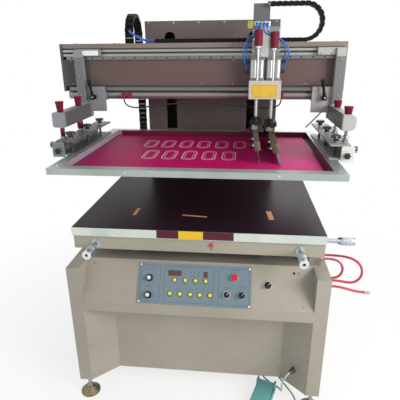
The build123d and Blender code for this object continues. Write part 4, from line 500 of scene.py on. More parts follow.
def dial(x, s, degrees, reach, height):
    """The place at an angle round a control of the fascia, and axes of which the first points away from it."""
    way = np.array([cos(radians(degrees)), sin(radians(degrees)), 0])
    return on_fascia(x + reach * way[0], s + reach * way[1], height), basis(OUT, way @ FASCIA_AXES)


# Camera and stage


def stand(thing, axes, place):
    """Puts a camera or a lamp at a place, looking against the last of its axes."""
    matrix = Matrix(np.array(axes).T.tolist()).to_4x4()
    matrix.translation = place
    thing.matrix_world = matrix
    bpy.context.scene.collection.objects.link(thing)


def seen_rays(tree):
    """1 for the rays of the camera, of reflections and of clear materials, and 0 for those that light the scene."""
    path = tree.nodes.new("ShaderNodeLightPath")
    value = path.outputs["Is Camera Ray"]
    for name in ("Is Glossy Ray", "Is Transmission Ray"):
        larger = tree.nodes.new("ShaderNodeMath")
        larger.operation = "MAXIMUM"
        tree.links.new(value, larger.inputs[0])
        tree.links.new(path.outputs[name], larger.inputs[1])
        value = larger.outputs[0]
    return value


def mix_shaders(tree, factor, first, second, output):
    """Shows the first shader where the factor is 0 and the second where it is 1."""
    mix = tree.nodes.new("ShaderNodeMixShader")
    for source, socket in zip((factor, first.outputs[0], second.outputs[0]), mix.inputs):
        tree.links.new(source, socket)
    tree.links.new(mix.outputs[0], tree.nodes[output].inputs["Surface"])


class PRINTER_OT_camera(bpy.types.Operator):
    """Put the camera where the photograph was taken"""

    bl_idname = "printer.camera"
    bl_label = "Camera"

    def execute(self, context):
        yaw, pitch, roll = (radians(turn) for turn in CAMERA_TURN)
        forward = np.array([-sin(yaw) * cos(pitch), cos(yaw) * cos(pitch), -sin(pitch)])
        level = np.array([cos(yaw), sin(yaw), 0.0])
        upward = np.cross(level, forward)
        data = bpy.data.cameras.new("camera")
        data.sensor_width, data.lens = 36.0, CAMERA_LENS
        camera = bpy.data.objects.new("camera", data)
        right, up = cos(roll) * level + sin(roll) * upward, cos(roll) * upward - sin(roll) * level
        stand(camera, [right, up, -forward], CAMERA_PLACE)
        context.scene.camera = camera
        context.scene.view_settings.view_transform = "Standard"
        return {"FINISHED"}


class PRINTER_OT_stage(bpy.types.Operator):
    """Make the pale floor, the studio lamps and the white surroundings"""

    bl_idname = "printer.stage"
    bl_label = "Stage"

    def execute(self, context):
        pale = plain("pale_floor", (0.9, 0.9, 0.9), 0.8, 0.9, 0.02)
        spread = pale.add("VectorMath", pale.place, operation="LENGTH").outputs["Value"]
        glow_share = pale.add("MapRange", spread, *FLOOR_FADE, *FLOOR_GLOW).outputs[0]
        share = pale.sum("MULTIPLY", seen_rays(pale.tree), glow_share)
        glow = pale.tree.nodes.new("ShaderNodeEmission")
        mix_shaders(pale.tree, share, pale.shader, glow, "Material Output")
        side = np.linspace(-FLOOR_REACH, FLOOR_REACH, 9)
        points, faces = flat_grid(side, side, FLOOR_LEVEL)
        mesh = bpy.data.meshes.new("floor")
        mesh.from_pydata(points.tolist(), [], faces.tolist())
        mesh.materials.append(pale.material)
        floor = bpy.data.objects.new("floor", mesh)
        context.scene.collection.objects.link(floor)

        for name, (place, power, size, tint) in LAMPS.items():
            data = bpy.data.lights.new(name, "AREA")
            data.energy, data.size, data.color = power, size, tint
            stand(bpy.data.objects.new(name, data), basis(np.array(place) - LAMP_TARGET), place)

        world = bpy.data.worlds.new("surroundings")
        world.use_nodes = True
        context.scene.world = world
        tree = world.node_tree
        soft, white = tree.nodes["Background"], tree.nodes.new("ShaderNodeBackground")
        for node, (colour, strength) in ((soft, SOFT_LIGHT), (white, WHITE_LIGHT)):
            node.inputs["Color"].default_value = colour
            node.inputs["Strength"].default_value = strength
        mix_shaders(tree, seen_rays(tree), soft, white, "World Output")
        return {"FINISHED"}


# Cords


def cord_piece(name, body, finish, route, diameter, stands_for):
    """A cord along a smooth spline whose control points are the route's points, in metres."""
    curve = bpy.data.curves.new(name, "CURVE")
    curve.dimensions = "3D"
    curve.bevel_depth = diameter / 2
    curve.bevel_resolution = 5
    curve.use_fill_caps = True
    curve.resolution_u = 10
    spline = curve.splines.new("NURBS")
    spline.points.add(len(route) - 1)
    spline.points.foreach_set("co", np.column_stack([route, np.ones(len(route))]).ravel())
    spline.order_u = 3
    spline.use_endpoint_u = True
    curve.materials.append(finish.material)
    made = bpy.data.objects.new(name, curve)
    bpy.context.scene.collection.objects.link(made)
    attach(made, body)
    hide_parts(*stands_for)
    return made


PEDAL_CABLE = np.array([
    (0.39924, -0.49059, 0.19), (0.38815, -0.50213, 0.19), (0.3753, -0.5138, 0.1795), (0.3675, -0.5175, 0.1579),
    (0.3656, -0.5128, 0.1327), (0.3674, -0.5022, 0.1088), (0.3705, -0.488, 0.0876), (0.3736, -0.4709, 0.0685),
    (0.3752, -0.4525, 0.0512), (0.374, -0.4324, 0.0359), (0.3688, -0.411, 0.0229), (0.3593, -0.3896, 0.0131),
    (0.3443, -0.37, 0.007), (0.3254, -0.3527, 0.0044), (0.3078, -0.3339, 0.0041), (0.2967, -0.3125, 0.0044),
    (0.3011, -0.2909, 0.0045), (0.3188, -0.2778, 0.0043), (0.3412, -0.28, 0.0041), (0.3604, -0.2953, 0.0041),
    (0.3748, -0.3169, 0.0041), (0.3866, -0.3399, 0.0042), (0.3983, -0.3623, 0.0042), (0.4107, -0.3842, 0.0042),
    (0.4227, -0.4064, 0.0042), (0.4328, -0.4297, 0.0042), (0.439, -0.4547, 0.0041), (0.439, -0.4801, 0.0041),
    (0.4301, -0.5019, 0.0043), (0.4117, -0.5127, 0.0054), (0.3902, -0.5088, 0.0076), (0.3701, -0.4949, 0.0106),
    (0.3507, -0.48105, 0.013), (0.33167, -0.47487, 0.013),
])
HOSE_OUTER = np.array([
    (0.508, -0.366, 0.69), (0.532, -0.366, 0.69), (0.5589, -0.3744, 0.6939), (0.5836, -0.3858, 0.6978),
    (0.6061, -0.3971, 0.6987), (0.6272, -0.4077, 0.6944), (0.6447, -0.4178, 0.6831), (0.6541, -0.4273, 0.6644),
    (0.6528, -0.4351, 0.6428), (0.6411, -0.4396, 0.6235), (0.6217, -0.4401, 0.6112), (0.5971, -0.4365, 0.6087),
    (0.569, -0.432, 0.612), (0.539, -0.432, 0.612),
])
HOSE_INNER = np.array([
    (0.508, -0.386, 0.684), (0.528, -0.386, 0.684), (0.5469, -0.387, 0.6829), (0.5633, -0.3887, 0.6794),
    (0.5761, -0.3913, 0.6716), (0.5848, -0.3943, 0.6595), (0.5879, -0.3976, 0.645), (0.585, -0.4004, 0.6303),
    (0.576, -0.4027, 0.6172), (0.561, -0.404, 0.608), (0.539, -0.404, 0.606),
])
HOSE_TAIL = np.array([
    (0.539, -0.44, 0.59), (0.557, -0.44, 0.59), (0.582, -0.441, 0.587), (0.612, -0.444, 0.58),
    (0.644, -0.446, 0.574), (0.668, -0.446, 0.573),
])
SENSOR_CABLE = np.array([
    (-0.385, 0.004, 1.27), (-0.385, 0.004, 1.26), (-0.3763, 0.0033, 1.2429), (-0.3537, 0.0018, 1.2322),
    (-0.3246, 0.0006, 1.2297), (-0.2946, -0.0001, 1.232), (-0.2654, -0.0003, 1.2357), (-0.2367, -0.0003, 1.2393),
    (-0.2083, -0.0002, 1.2425), (-0.18, -0.0001, 1.2455), (-0.1516, 0, 1.2484), (-0.1232, 0, 1.2512),
    (-0.0948, 0.0001, 1.2537), (-0.0664, 0.0001, 1.2556), (-0.0379, 0.0002, 1.2566), (-0.0094, 0.0001, 1.2565),
    (0.019, 0.0001, 1.2551), (0.0474, 0, 1.2528), (0.0758, -0.0001, 1.2497), (0.1041, -0.0002, 1.2463),
    (0.1325, -0.0003, 1.2431), (0.1609, -0.0003, 1.2402), (0.1895, -0.0003, 1.2378), (0.2184, -0.0002, 1.2355),
    (0.2481, 0.0001, 1.2332), (0.2789, 0.0009, 1.2319), (0.3088, 0.0022, 1.2347), (0.3313, 0.0035, 1.2453),
    (0.338, 0.004, 1.262), (0.338, 0.004, 1.27),
])
TUBE_BUNCH = np.array([
    (-0.356, 0.0805, 1.566), (-0.356, 0.0625, 1.566), (-0.3495, 0.0463, 1.5617), (-0.3378, 0.0349, 1.554),
    (-0.3232, 0.0307, 1.5445), (-0.3078, 0.0338, 1.5352), (-0.2923, 0.0404, 1.5276), (-0.276, 0.0466, 1.5225),
    (-0.257, 0.05, 1.52), (-0.232, 0.05, 1.52),
])
AIR_TUBES = [
    np.array([
        (0.216, -0.0585, 1.569), (0.216, -0.0585, 1.563), (0.2119, -0.0592, 1.5485), (0.1972, -0.0612, 1.5359),
        (0.1831, -0.0628, 1.5228), (0.1729, -0.0635, 1.5074), (0.166, -0.0633, 1.4903), (0.1632, -0.0622, 1.4722),
        (0.1644, -0.0601, 1.4541), (0.1686, -0.0569, 1.4365), (0.1747, -0.0528, 1.4206), (0.18, -0.049, 1.409),
        (0.18, -0.049, 1.399),
    ]),
    np.array([
        (0.231, -0.0585, 1.569), (0.231, -0.0585, 1.563), (0.2274, -0.0577, 1.5499), (0.2164, -0.0557, 1.5402),
        (0.2054, -0.0539, 1.5318), (0.1958, -0.0525, 1.5228), (0.1876, -0.0512, 1.5127), (0.1815, -0.0502, 1.5012),
        (0.1777, -0.0494, 1.4887), (0.1764, -0.0489, 1.4757), (0.1775, -0.0488, 1.4623), (0.18, -0.049, 1.449),
        (0.18, -0.049, 1.439),
    ]),
    np.array([
        (0.261, -0.0585, 1.569), (0.261, -0.0585, 1.563), (0.2656, -0.0591, 1.5471), (0.2845, -0.0611, 1.5352),
        (0.3056, -0.0628, 1.5261), (0.3243, -0.0637, 1.515), (0.3397, -0.0638, 1.5004), (0.3499, -0.0626, 1.4818),
        (0.353, -0.0603, 1.461), (0.35, -0.0572, 1.4402), (0.3433, -0.0529, 1.4216), (0.337, -0.049, 1.409),
        (0.337, -0.049, 1.399),
    ]),
    np.array([
        (0.246, -0.0585, 1.569), (0.246, -0.0585, 1.563), (0.25, -0.0578, 1.549), (0.2644, -0.0557, 1.5383),
        (0.2823, -0.0536, 1.5328), (0.2991, -0.0521, 1.5266), (0.3143, -0.0509, 1.518), (0.327, -0.0499, 1.5063),
        (0.3355, -0.0492, 1.4913), (0.3392, -0.0489, 1.4748), (0.3389, -0.0489, 1.4598), (0.337, -0.049, 1.449),
        (0.337, -0.049, 1.439),
    ]),
]
CHAIN_TUBE_OFFSETS = ((0.0, 0.0029), (0.0018, -0.0015), (-0.0018, -0.0015))


class PRINTER_OT_cords(bpy.types.Operator):
    """Make the pedal cable, the red hoses, the blue air tubes and the cables on the beam"""

    bl_idname = "printer.cords"
    bl_label = "Cords and hoses"

    def execute(self, context):
        palette = colours()
        grey = rubbery("grey_cable", (0.42, 0.43, 0.40), 0.38)
        red = rubbery("red_hose", palette.hose, 0.28)
        blue = rubbery("blue_tube", palette.tube, 0.22)
        black = rubbery("wrapped_cable", palette.black, 0.45)
        wrap = black.add("TexWave", black.place, wave_type="BANDS", bands_direction="X")
        wrap.inputs["Scale"].default_value = 42.0
        black.relief(wrap.outputs["Fac"], 0.0008, 0.9)

        cord_piece("pedal_cord", "base", grey, PEDAL_CABLE, 0.007, ["pedal_cable"])
        brass = bare_metal("hose_brass", (0.62, 0.55, 0.36), 0.3)
        connector = piece("hose_connector", "base", brass, "steel", turned([
            (0.0055, 0), (0.0063, 0.001), (0.0063, 0.007), (0.007, 0.008), (0.007, 0.018), (0.0055, 0.019),
            (0.0055, 0.023), (0.003, 0.024), (0.003, 0.020)
        ], HOSE_TAIL[-1], (1, 0, 0), 36, 12, 0.0005, (0.008, 0.018)))
        cord_piece("hose_outer", "base", red, HOSE_OUTER, 0.010, ["air_hoses"])
        cord_piece("hose_inner", "base", red, HOSE_INNER, 0.010, ["air_hoses"])
        cord_piece(
            "hose_tail", "base", red, HOSE_TAIL, 0.010, ["air_hoses"],
        )
        lengths = (0.1916, 0.1503, 0.2179, 0.1793)
        for number, (route, length) in enumerate(zip(AIR_TUBES, lengths), 1):
            cord_piece(f"air_tube_{number}", "carriage", blue, route, 0.006, ["air_tubes"])
        cord_piece(
            "sensor_cord", "head", black, SENSOR_CABLE, 0.006, ["beam_cables"],
        )
        for number, (across, upward) in enumerate(CHAIN_TUBE_OFFSETS, 1):
            route = TUBE_BUNCH + np.array([across, across, upward])
            cord_piece(f"chain_tube_{number}", "head", blue, route, 0.005, ["beam_cables"])
        return {"FINISHED"}


# Cable chains


def chain_links(path, across, width, thickness, pitch):
    """Links at even steps along a path: each is two side plates and two rungs, turned to the path's direction."""
    along = np.concatenate([[0], np.cumsum(np.linalg.norm(np.diff(path, axis=0), axis=1))])
    count = int(round(along[-1] / pitch))
    step = along[-1] / count
    middle = (np.arange(count) + 0.5) * step
    place, ahead, behind = (
        np.stack([np.interp(middle + shift * step, along, part) for part in path.T], -1) for shift in (0, 0.4, -0.4)
    )
    tangent = (ahead - behind) / np.linalg.norm(ahead - behind, axis=1, keepdims=True)
    side = np.broadcast_to(np.array(across, float), tangent.shape)
    axes = np.stack([tangent, np.cross(side, tangent), side], 1)
    half, wall, inset, rise = width / 2, 0.0045, 0.003, thickness / 2 - 0.0022
    link = (step * 1.10, thickness, thickness * 0.42)
    template = [
        plate(*link, (-half, -half + wall), 0.0008, steps=4), plate(*link, (half - wall, half), 0.0008, steps=4),
        plate(step * 0.94, 0.0034, 0.0012, (-half + inset, half - inset), 0.0004, (0, rise, 0)),
        plate(step * 0.84, 0.0034, 0.0012, (-half + inset, half - inset), 0.0004, (0, -rise, 0)),
    ]
    shapes, distance = [], []
    for points, faces in template:
        local = np.broadcast_to(points, (count, *points.shape)).copy()
        local[::2, :, 2] *= 1 - 0.0009 / half
        placed = np.einsum("nkc,ncd->nkd", local, axes) + place[:, None]
        start = (np.arange(count) * len(points))[:, None]
        linked = [face for each in faces for face in (start + np.array([each])).tolist()]
        shapes.append((placed.reshape(-1, 3), linked))
        distance.append((middle[:, None] + local[:, :, 0]).ravel())
    return shapes, np.concatenate(distance), along[-1]


class PRINTER_OT_chains(bpy.types.Operator):
    """Make the two cable chains from their links"""

    bl_idname = "printer.chains"
    bl_label = "Cable chains"

    def execute(self, context):
        black = moulded("chain_plastic", (0.006, 0.006, 0.0065), 0.5, 0.12)
        thickness, pitch = 0.018, sizes().chain_pitch
        flat = np.concatenate([[(0.267, 1.000)], arc((0.1785, 1.5475), 0.0885, 0, 180), [(0.090, 1.5115)]])
        path = np.insert(flat, 0, -0.364, axis=1)
        links, distance, total = chain_links(path, (1, 0, 0), 0.038, thickness, pitch)
        upright = piece("lift_chain_links", None, black, "chain_black", *links, replaces=["lift_chain"])
        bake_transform(upright)

        flat = np.concatenate([[(-0.232, 1.520)], arc((0.4245, 1.592), 0.072, -90, 90), [(0.274, 1.664)]])
        path = np.insert(flat, 1, 0.050, axis=1)
        links, distance, total = chain_links(path, FRONT, 0.040, thickness, pitch)
        level = piece("carriage_chain_links", None, black, "chain_black", *links, replaces=["carriage_chain"])
        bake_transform(level)
        return {"FINISHED"}


# Cabinet, column and feet


class PRINTER_OT_cabinet(bpy.types.Operator):
    """Paint the cabinet and the column and fit their screws, feet and air unit"""

    bl_idname = "printer.cabinet"
    bl_label = "Cabinet and column"

    def execute(self, context):
        palette = colours()
        dress("cabinet", painted("cabinet_paint", palette.cabinet).zones(
            ((0.2695, -0.3405, 0.6601), (0.2905, 0.1005, 0.6755), (0.55, 0.55, 0.54), 1.0, 0.3, BOTH),
            ((0.449, -0.405, 0.6601), (0.5085, -0.349, 0.705), (0.45, 0.44, 0.40), 1.0, 0.35),
            ((0.5232, -0.45, 0.58), (0.54, -0.39, 0.622), (0.03, 0.03, 0.03), 0.0, 0.35),
            ((0.396, -0.495, 0.177), (0.4195, -0.4695, 0.203), (0.07, 0.07, 0.07), 0.0, 0.4),
        ))
        dress("column", painted("column_paint", palette.column).zones(
            ((-0.33, 0.306, 1.606), (0.33, 0.3099, 1.616), (0.5, 0.5, 0.5), 1.0, 0.35),
            ((0.180, 0.309, 1.580), (0.207, 0.3103, 1.614), (0.52, 0.50, 0.05), 0.0, 0.5),
            ((-0.4, 0.25, 0.93), (-0.3405, 0.41, 1.01), (0.06, 0.06, 0.06), 0.2, 0.5),
        ))
        brass = bare_metal("foot_brass", (0.24, 0.20, 0.12), 0.45)
        brass.shade(0.01, 0.3)
        dress("levelling_feet", brass.zones(((-1, -1, 0.0305), (1, 1, 0.2), (0.40, 0.39, 0.37), 1.0, 0.4)))
        dress("lift_guides", bare_metal("guide_steel", (0.56, 0.57, 0.58), 0.22, (1, 1, 40)))
        cast = bare_metal("cast_aluminium", (0.44, 0.45, 0.46), 0.6)
        cast.relief(cast.noise(0.0012, 4.0), 0.0002, 0.7)
        dress("vacuum_blower", cast)
        dress("air_unit", moulded("unit_plastic", (0.03, 0.035, 0.045), 0.35).zones(
            ((0.54, 0.44, 0.299), (0.66, 0.50, 0.3945), (0.45, 0.48, 0.50), 0.0, 0.12),
            ((0.52, 0.42, 0.379), (0.5279, 0.51, 0.451), (0.5, 0.5, 0.48), 1.0, 0.35),
            ((0.58, 0.434, 0.39), (0.62, 0.4385, 0.43), (0.7, 0.7, 0.68), 0.0, 0.2),
        ))

        # The skirt's two side panels stand askew: they run back and inwards from the leg boxes
        rows = [([on_fascia(x, s, 0) for x, s in ((-0.43, 0.155), (0.412, 0.150), (0.43, 0.02))], OUT)]
        for side in (-1, 1):
            run = np.array([-side * 0.101, 0.097, 0]) / 0.14
            corner = np.array([side * 0.469, -0.516, 0])
            steps = grid((0.012, 0.128), (0.12, 0.28, 0.44))
            skirt = [corner + run * along + (0, 0, level) for along, level in steps]
            rows.append((skirt, (-side * 0.6927, -0.7213, 0), 0.0035, 0.002))
            rows.append((grid(side * 0.523, (-0.38, 0.54), (0.13, 0.38, 0.62)), (side, 0, 0)))
        rows.append((grid((-0.49, 0.49), 0.570, (0.13, 0.38, 0.62)), (0, 1, 0)))
        rows.append((grid((-0.325, 0.325), 0.570, (0.72, 1.15, 1.59)), (0, 1, 0)))
        screw_set("cabinet_screws", "base", bare_metal("screw_steel", (0.34, 0.33, 0.31), 0.35), *rows)
        plug = turned([(0.0052, 0), (0.0052, 0.0012), (0.003, 0.0022)], on_fascia(0.392, 0.150, 0), OUT, 20)
        piece("fascia_plug", "base", moulded("hole_plug_black", palette.black), "black_knob", plug)
        nut = turned([
            (0.0125, 0.0052), (0.0125, 0.013), (0.0105, 0.0135), (0.0105, 0.020), (0.0085, 0.0300), (0.004, 0.0302)
        ], (0.420, -0.469, 0.190), (-0.6927, -0.7213, 0), 48, 6, 0.0016, (0.0052, 0.013))
        piece("gland_nut", "base", moulded("gland_black", (0.05, 0.05, 0.05)), "chain_black", nut)
        return {"FINISHED"}


# Controls

# Across and up the slope: the dark outlines of the three groups, the printed marks with their widths, and the lamps
GROUPS, GROUP_HEIGHT = ((-0.231, -0.149), (-0.132, 0.071), (0.091, 0.214)), (0.012, 0.158)
MARKS = [
    (-0.193, 0.141, 0.034), (-0.194, 0.072, 0.034), (0.155, 0.151, 0.046), (0.125, 0.080, 0.026),
    (0.188, 0.083, 0.028)
]
MARKS += [(x, s - 0.0125, 0.015) for x, s in KEY_PLACES]
PLATE_LAMPS = [(-0.048, 0.1255), *grid((-0.022, -0.008, 0.008), (0.119, 0.1345))]
PLATE_LAMPS += grid((-0.105, -0.074, -0.050, -0.022, 0.004, 0.030, 0.058), 0.068)
DISPLAYS = ((-0.0895, 0.1295, 0.054, 0.022), (0.0375, 0.128, 0.016, 0.023))
BEZELS = (
    (0.155, 0.122, 0.0156, PLATE_TOP), (0.186, 0.053, 0.0156, PLATE_TOP), (0.125, 0.052, 0.0150, PLATE_TOP),
    (0.288, 0.098, 0.0165, 0.0),
)
PRINT = (-0.0002, 0.0002)  # a print's lower and upper level over the sheet below it
SPEED_KNOB = [
    (0.0142, 0.0033), (0.0145, 0.0040), (0.0145, 0.0075), (0.0132, 0.0085), (0.0112, 0.0090), (0.0106, 0.0215),
    (0.0096, 0.0229), (0.004, 0.0230)
]
SPEED_CAP = [(0.0078, 0.0226), (0.0078, 0.0236), (0.0066, 0.0243), (0.003, 0.0244)]


class PRINTER_OT_controls(bpy.types.Operator):
    """Finish the control plate with its lines, displays, keys, knobs and selectors"""

    bl_idname = "printer.controls"
    bl_label = "Controls"

    def execute(self, context):
        palette = colours()
        sheet = Finish("plate_print", palette.panel, 0.38)
        sheet.soften(0.0008)
        sheet.shade(0.2, 0.10)
        sheet.relief(sheet.noise(0.0009, 2.0), 0.00002, 0.5)
        dress("control_plate", sheet)

        lines, (low, high) = [], GROUP_HEIGHT
        for left, right in GROUPS:
            middle = on_fascia((left + right) / 2, (low + high) / 2, PLATE_TOP)
            outline = rounded(right - left, high - low, 0.004, 4)
            lines.append(ribbon(outline, 0.0011, -0.0002, 0.00025, middle, FASCIA_AXES))
        for x, s, width in MARKS:
            lines.append(plate(width, 0.0016, 0.0007, PRINT, 0.00005, on_fascia(x, s, PLATE_TOP), FASCIA_AXES))
        scales = [(place, np.linspace(225, -45, 9)) for place in SPEED_PLACES.values()]
        scales += [(SELECTOR_PLACES[name][:2], (135, 90, 45)) for name in ("selector_mode", "selector_vacuum")]
        for (x, s), angles in scales:
            for angle in angles:
                spot = dial(x, s, angle, 0.0185, PLATE_TOP)
                lines.append(plate(0.0034, 0.0009, 0.0003, PRINT, 0.00005, *spot, steps=2))
        piece("plate_lines", "base", plain("plate_line", palette.panel_line, 0.45, 0.02, 0.2), "panel_plate", *lines)

        lens = [(0.0017, -0.0002), (0.0017, 0.0004), (0.0009, 0.0011)]
        lamps = [turned(lens, on_fascia(x, s, PLATE_TOP), OUT, 14) for x, s in PLATE_LAMPS]
        glass = plain("lamp_lens", (0.03, 0.05, 0.09), 0.15, 0.003, 0.3, coat=0.5)
        piece("plate_lamps", "base", glass, "chain_black", *lamps)
        windows = [
            plate(width, height, 0.0015, (0, 0.0016), 0.0004, on_fascia(x, s, PLATE_TOP), FASCIA_AXES)
            for x, s, width, height in DISPLAYS
        ]
        glass = plain("display_glass", palette.display, 0.12, 0.01, 0.35, coat=0.6, stretch=(3, 1, 1))
        piece("display_windows", "base", glass, "panel_plate", *windows)
        corners = [on_fascia(x, s, 0.0048) for x, s in grid((-0.232, 0.215), (0.011, 0.159))]
        white = bare_metal("plate_screw", (0.80, 0.80, 0.80), 0.3)
        screw_set("plate_screws", "base", white, (corners, OUT, 0.0042, 0.0016))

        key = moulded("key_yellow", palette.key, 0.3)
        # A faint painted glow in the keys' own yellow
        key.shader.inputs["Emission Color"].default_value = (*palette.key, 1.0)
        key.shader.inputs["Emission Strength"].default_value = 0.08
        for number in range(1, 10):
            dress(f"key_{number}", key)
        width = sizes().key_collar
        collars = [
            ribbon(circle(0.0073 + width, 32), width, -0.0002, 0.0022, on_fascia(x, s, PLATE_TOP), FASCIA_AXES)
            for x, s in KEY_PLACES
        ]
        piece("key_collars", "base", moulded("key_collar", (0.11, 0.13, 0.05), 0.35), "black_knob", *collars)
        stop = moulded("stop_red", palette.stop, 0.25)
        # The button's neck is plain, with no shade or wear
        stop.zone((0.143, -0.47, 0.60), (0.167, -0.4, 0.6099), palette.stop, 0.0, 0.25)
        dress("stop_button", stop)
        rings = [
            ribbon(circle(radius, 40), 0.0024, -0.0002, 0.0034, on_fascia(x, s, seat), FASCIA_AXES)
            for x, s, radius, seat in BEZELS
        ]
        piece("bezel_rings", "base", bare_metal("bezel_metal", (0.62, 0.62, 0.62), 0.25), "steel", *rings)

        black = moulded("knob_black", palette.black, 0.32)
        pointer = plain("pointer_white", (0.78, 0.78, 0.76), 0.35, 0.004, 0.15)
        for name, (x, s) in SPEED_PLACES.items():
            foot = on_fascia(x, s, 0)
            knob = turned(SPEED_KNOB, foot, OUT, 72, 24, 0.0007, (0.0090, 0.0215))
            piece(name + "_cap", name, black, "black_knob", knob, replaces=[name])
            spot = dial(x, s, 150 if name.endswith("upper") else 190, 0.0125, 0)
            tick = plate(0.004, 0.0016, 0.0005, (0.0085, 0.0092), 0.0001, *spot)
            piece(name + "_pointer", name, pointer, "black_knob", turned(SPEED_CAP, foot, OUT, 32), tick)
        for name, (x, s, seat, radius) in SELECTOR_PLACES.items():
            foot, grip = dial(x, s, 45, 0, 0)
            rim = [(radius, 0.0034), (radius, 0.0060), (radius - 0.0008, 0.0070), (0.005, 0.0072)]
            disc = turned([(reach, seat + level) for reach, level in rim], foot, OUT, 40)
            bar = plate(2 * radius - 0.001, 0.0078, 0.0030, (seat + 0.006, seat + 0.0184), 0.0008, foot, grip, 5)
            piece(name + "_handle", name, black, "black_knob", disc, bar, replaces=[name])
            spot = on_fascia(x + radius * 0.36, s + radius * 0.36, 0)
            mark = plate(radius * 0.8, 0.0014, 0.0005, (seat + 0.0183, seat + 0.0187), 0.0001, spot, grip)
            piece(name + "_mark", name, pointer, "black_knob", mark)
        return {"FINISHED"}


# Table

TABLE_TOP = 0.822
TAPES = (  # middle, width, depth and turn in degrees
    (-0.2785, -0.284, 0.015, 0.080, -2), (-0.022, -0.3150, 0.108, 0.012, -7), (0.295, -0.281, 0.022, 0.094, 5),
)
THIMBLES = {
    "thimble_left": ((-0.404, -0.506, 0.753), FRONT), "thimble_right": ((0.404, -0.506, 0.753), FRONT),
    "thimble_side": ((0.561, -0.370, 0.758), (1, 0, 0)),
}
THIMBLE_BARREL = [
    (0.0118, 0.0), (0.0125, 0.0008), (0.0180, 0.0165), (0.0183, 0.0200), (0.0183, 0.0300), (0.0176, 0.0304),
    *[(0.0185, 0.0310 + 0.003 * step) for step in range(9)], (0.0178, 0.0556), (0.0183, 0.0562), (0.0183, 0.0655),
]
THIMBLE_RING = [(0.0183, 0.0650), (0.0183, 0.0672), (0.0172, 0.0690), (0.0062, 0.0690), (0.0055, 0.0672)]
THIMBLE_BORE = [(0.0057, 0.0660), (0.0057, 0.0676)]
MARKER = [(0.0083, 0.0), (0.0083, 0.0058), (0.0070, 0.0072), (0.0030, 0.0076)]
MARKER_PIN = [(0.0016, 0.0), (0.0022, 0.003), (0.0022, 0.013), (0.0012, 0.0145)]


class PRINTER_OT_table(bpy.types.Operator):
    """Finish the table, its underframe, tape marks and micrometers"""

    bl_idname = "printer.table"
    bl_label = "Table"

    def execute(self, context):
        palette = colours()
        board = bare_metal("table_edge_alloy", palette.table_edge, 0.36, (60, 1, 1))
        board.mix("Metallic", 1.0, 0.7)
        board.shader.inputs["Specular IOR Level"].default_value = 0.09
        board.zone((-0.498, -0.4675, 0.8198), (0.498, 0.2275, 0.83), palette.top_sheet, 0.0, 0.36)
        sheet = board.inside((-0.498, -0.4675, 0.8215), (0.498, 0.2275, 0.83))
        dust = board.sum("GREATER_THAN", board.noise(0.012, 5.0), 0.735)
        board.mix("Base Color", board.sum("MULTIPLY", sheet, dust), (0.09, 0.08, 0.09))
        dress("table_top", board.zones(
            ((-0.1545, -0.4715, 0.7868), (0.148, -0.4695, 0.8212), palette.edge_label, 0.0, 0.4),
            ((-0.0675, -0.4716, 0.7872), (0.029, -0.4694, 0.8208), palette.yellow_label, 0.0, 0.45),
        ))
        steel = (0.50, 0.54, 0.58)
        dress("table_frame", painted("underframe_paint", palette.underframe).zones(
            ((0.38, -0.58, 0.72), (0.43, -0.4625, 0.79), steel, 1.0, 0.3, BOTH),
            ((0.4975, -0.40, 0.73), (0.64, -0.34, 0.79), steel, 1.0, 0.3),
            ((0.050, -0.47, 0.750), (0.074, -0.4622, 0.774), (0.55, 0.03, 0.04), 0.0, 0.35),
            ((-0.28, -0.34, 0.70), (0.28, -0.26, 0.7269), (0.45, 0.45, 0.45), 1.0, 0.35),
        ))
        dress("cross_slide", bare_metal("slide_steel", (0.52, 0.52, 0.51), 0.3, (40, 1, 1)))

        tape = plain("register_tape", palette.tape, 0.55, 0.004, 0.25, stretch=(4, 1, 1))
        tape.relief(tape.noise(0.001, 3.0), 0.00005, 0.6)
        strips, heights = [], (-0.0001, sizes().tape_thickness)
        for x, y, width, depth, turn in TAPES:
            axes = basis(UP, (cos(radians(turn)), sin(radians(turn)), 0))
            strips.append(plate(width, depth, 0.0006, heights, 0.00005, (x, y, TABLE_TOP), axes))
        piece("register_tape", "table", tape, "table_alloy", *strips)

        metal = bare_metal("thimble_chrome", (0.55, 0.62, 0.70), 0.24)
        cream = bare_metal("thimble_ring", (0.82, 0.84, 0.76), 0.35)
        dark = moulded("thimble_bore", (0.02, 0.02, 0.02))
        for name, (origin, axis) in THIMBLES.items():
            barrel = turned(THIMBLE_BARREL, origin, axis, 96, 32, 0.0008, (0.0310, 0.0550))
            piece(name + "_barrel", name, metal, "micrometer", barrel, replaces=[name])
            piece(name + "_ring", name, cream, "micrometer", turned(THIMBLE_RING, origin, axis, 48))
            piece(name + "_bore", name, dark, "chain_black", turned(THIMBLE_BORE, origin, axis, 32))
        lines = []
        for side, step in product((-1, 1), range(8)):
            reach, place = 0.0024 if step % 5 else 0.0042, (side * 0.404, -0.472 - 0.004 * step, 0.753)
            lines.append(plate(reach, 0.0004, 0.0001, (0.00995, 0.01006), 0.00002, place, steps=2))
        ink = plain("engraved_line", (0.03, 0.03, 0.03), 0.5, 0.004, 0.2)
        piece("sleeve_scale", "table", ink, "micrometer", *lines)
        marker = turned(MARKER, (0.062, -0.462, 0.762), FRONT, 32)
        red = plain("marker_red", (0.55, 0.025, 0.035), 0.3, 0.004, 0.2, coat=0.3)
        piece("level_marker", "table", red, "red_button", marker)
        pin = turned(MARKER_PIN, (0.064, -0.4645, 0.7535), DOWN, 16)
        piece("marker_pin", "table", bare_metal("marker_pin", (0.45, 0.42, 0.40), 0.35), "steel", pin)
        return {"FINISHED"}


# Head

SENSORS = (-0.385, -0.357, 0.338)
RAIL_METAL, DARK_OLIVE, SENSOR_RED = (0.17, 0.18, 0.17), (0.075, 0.078, 0.070), (0.30, 0.008, 0.03)


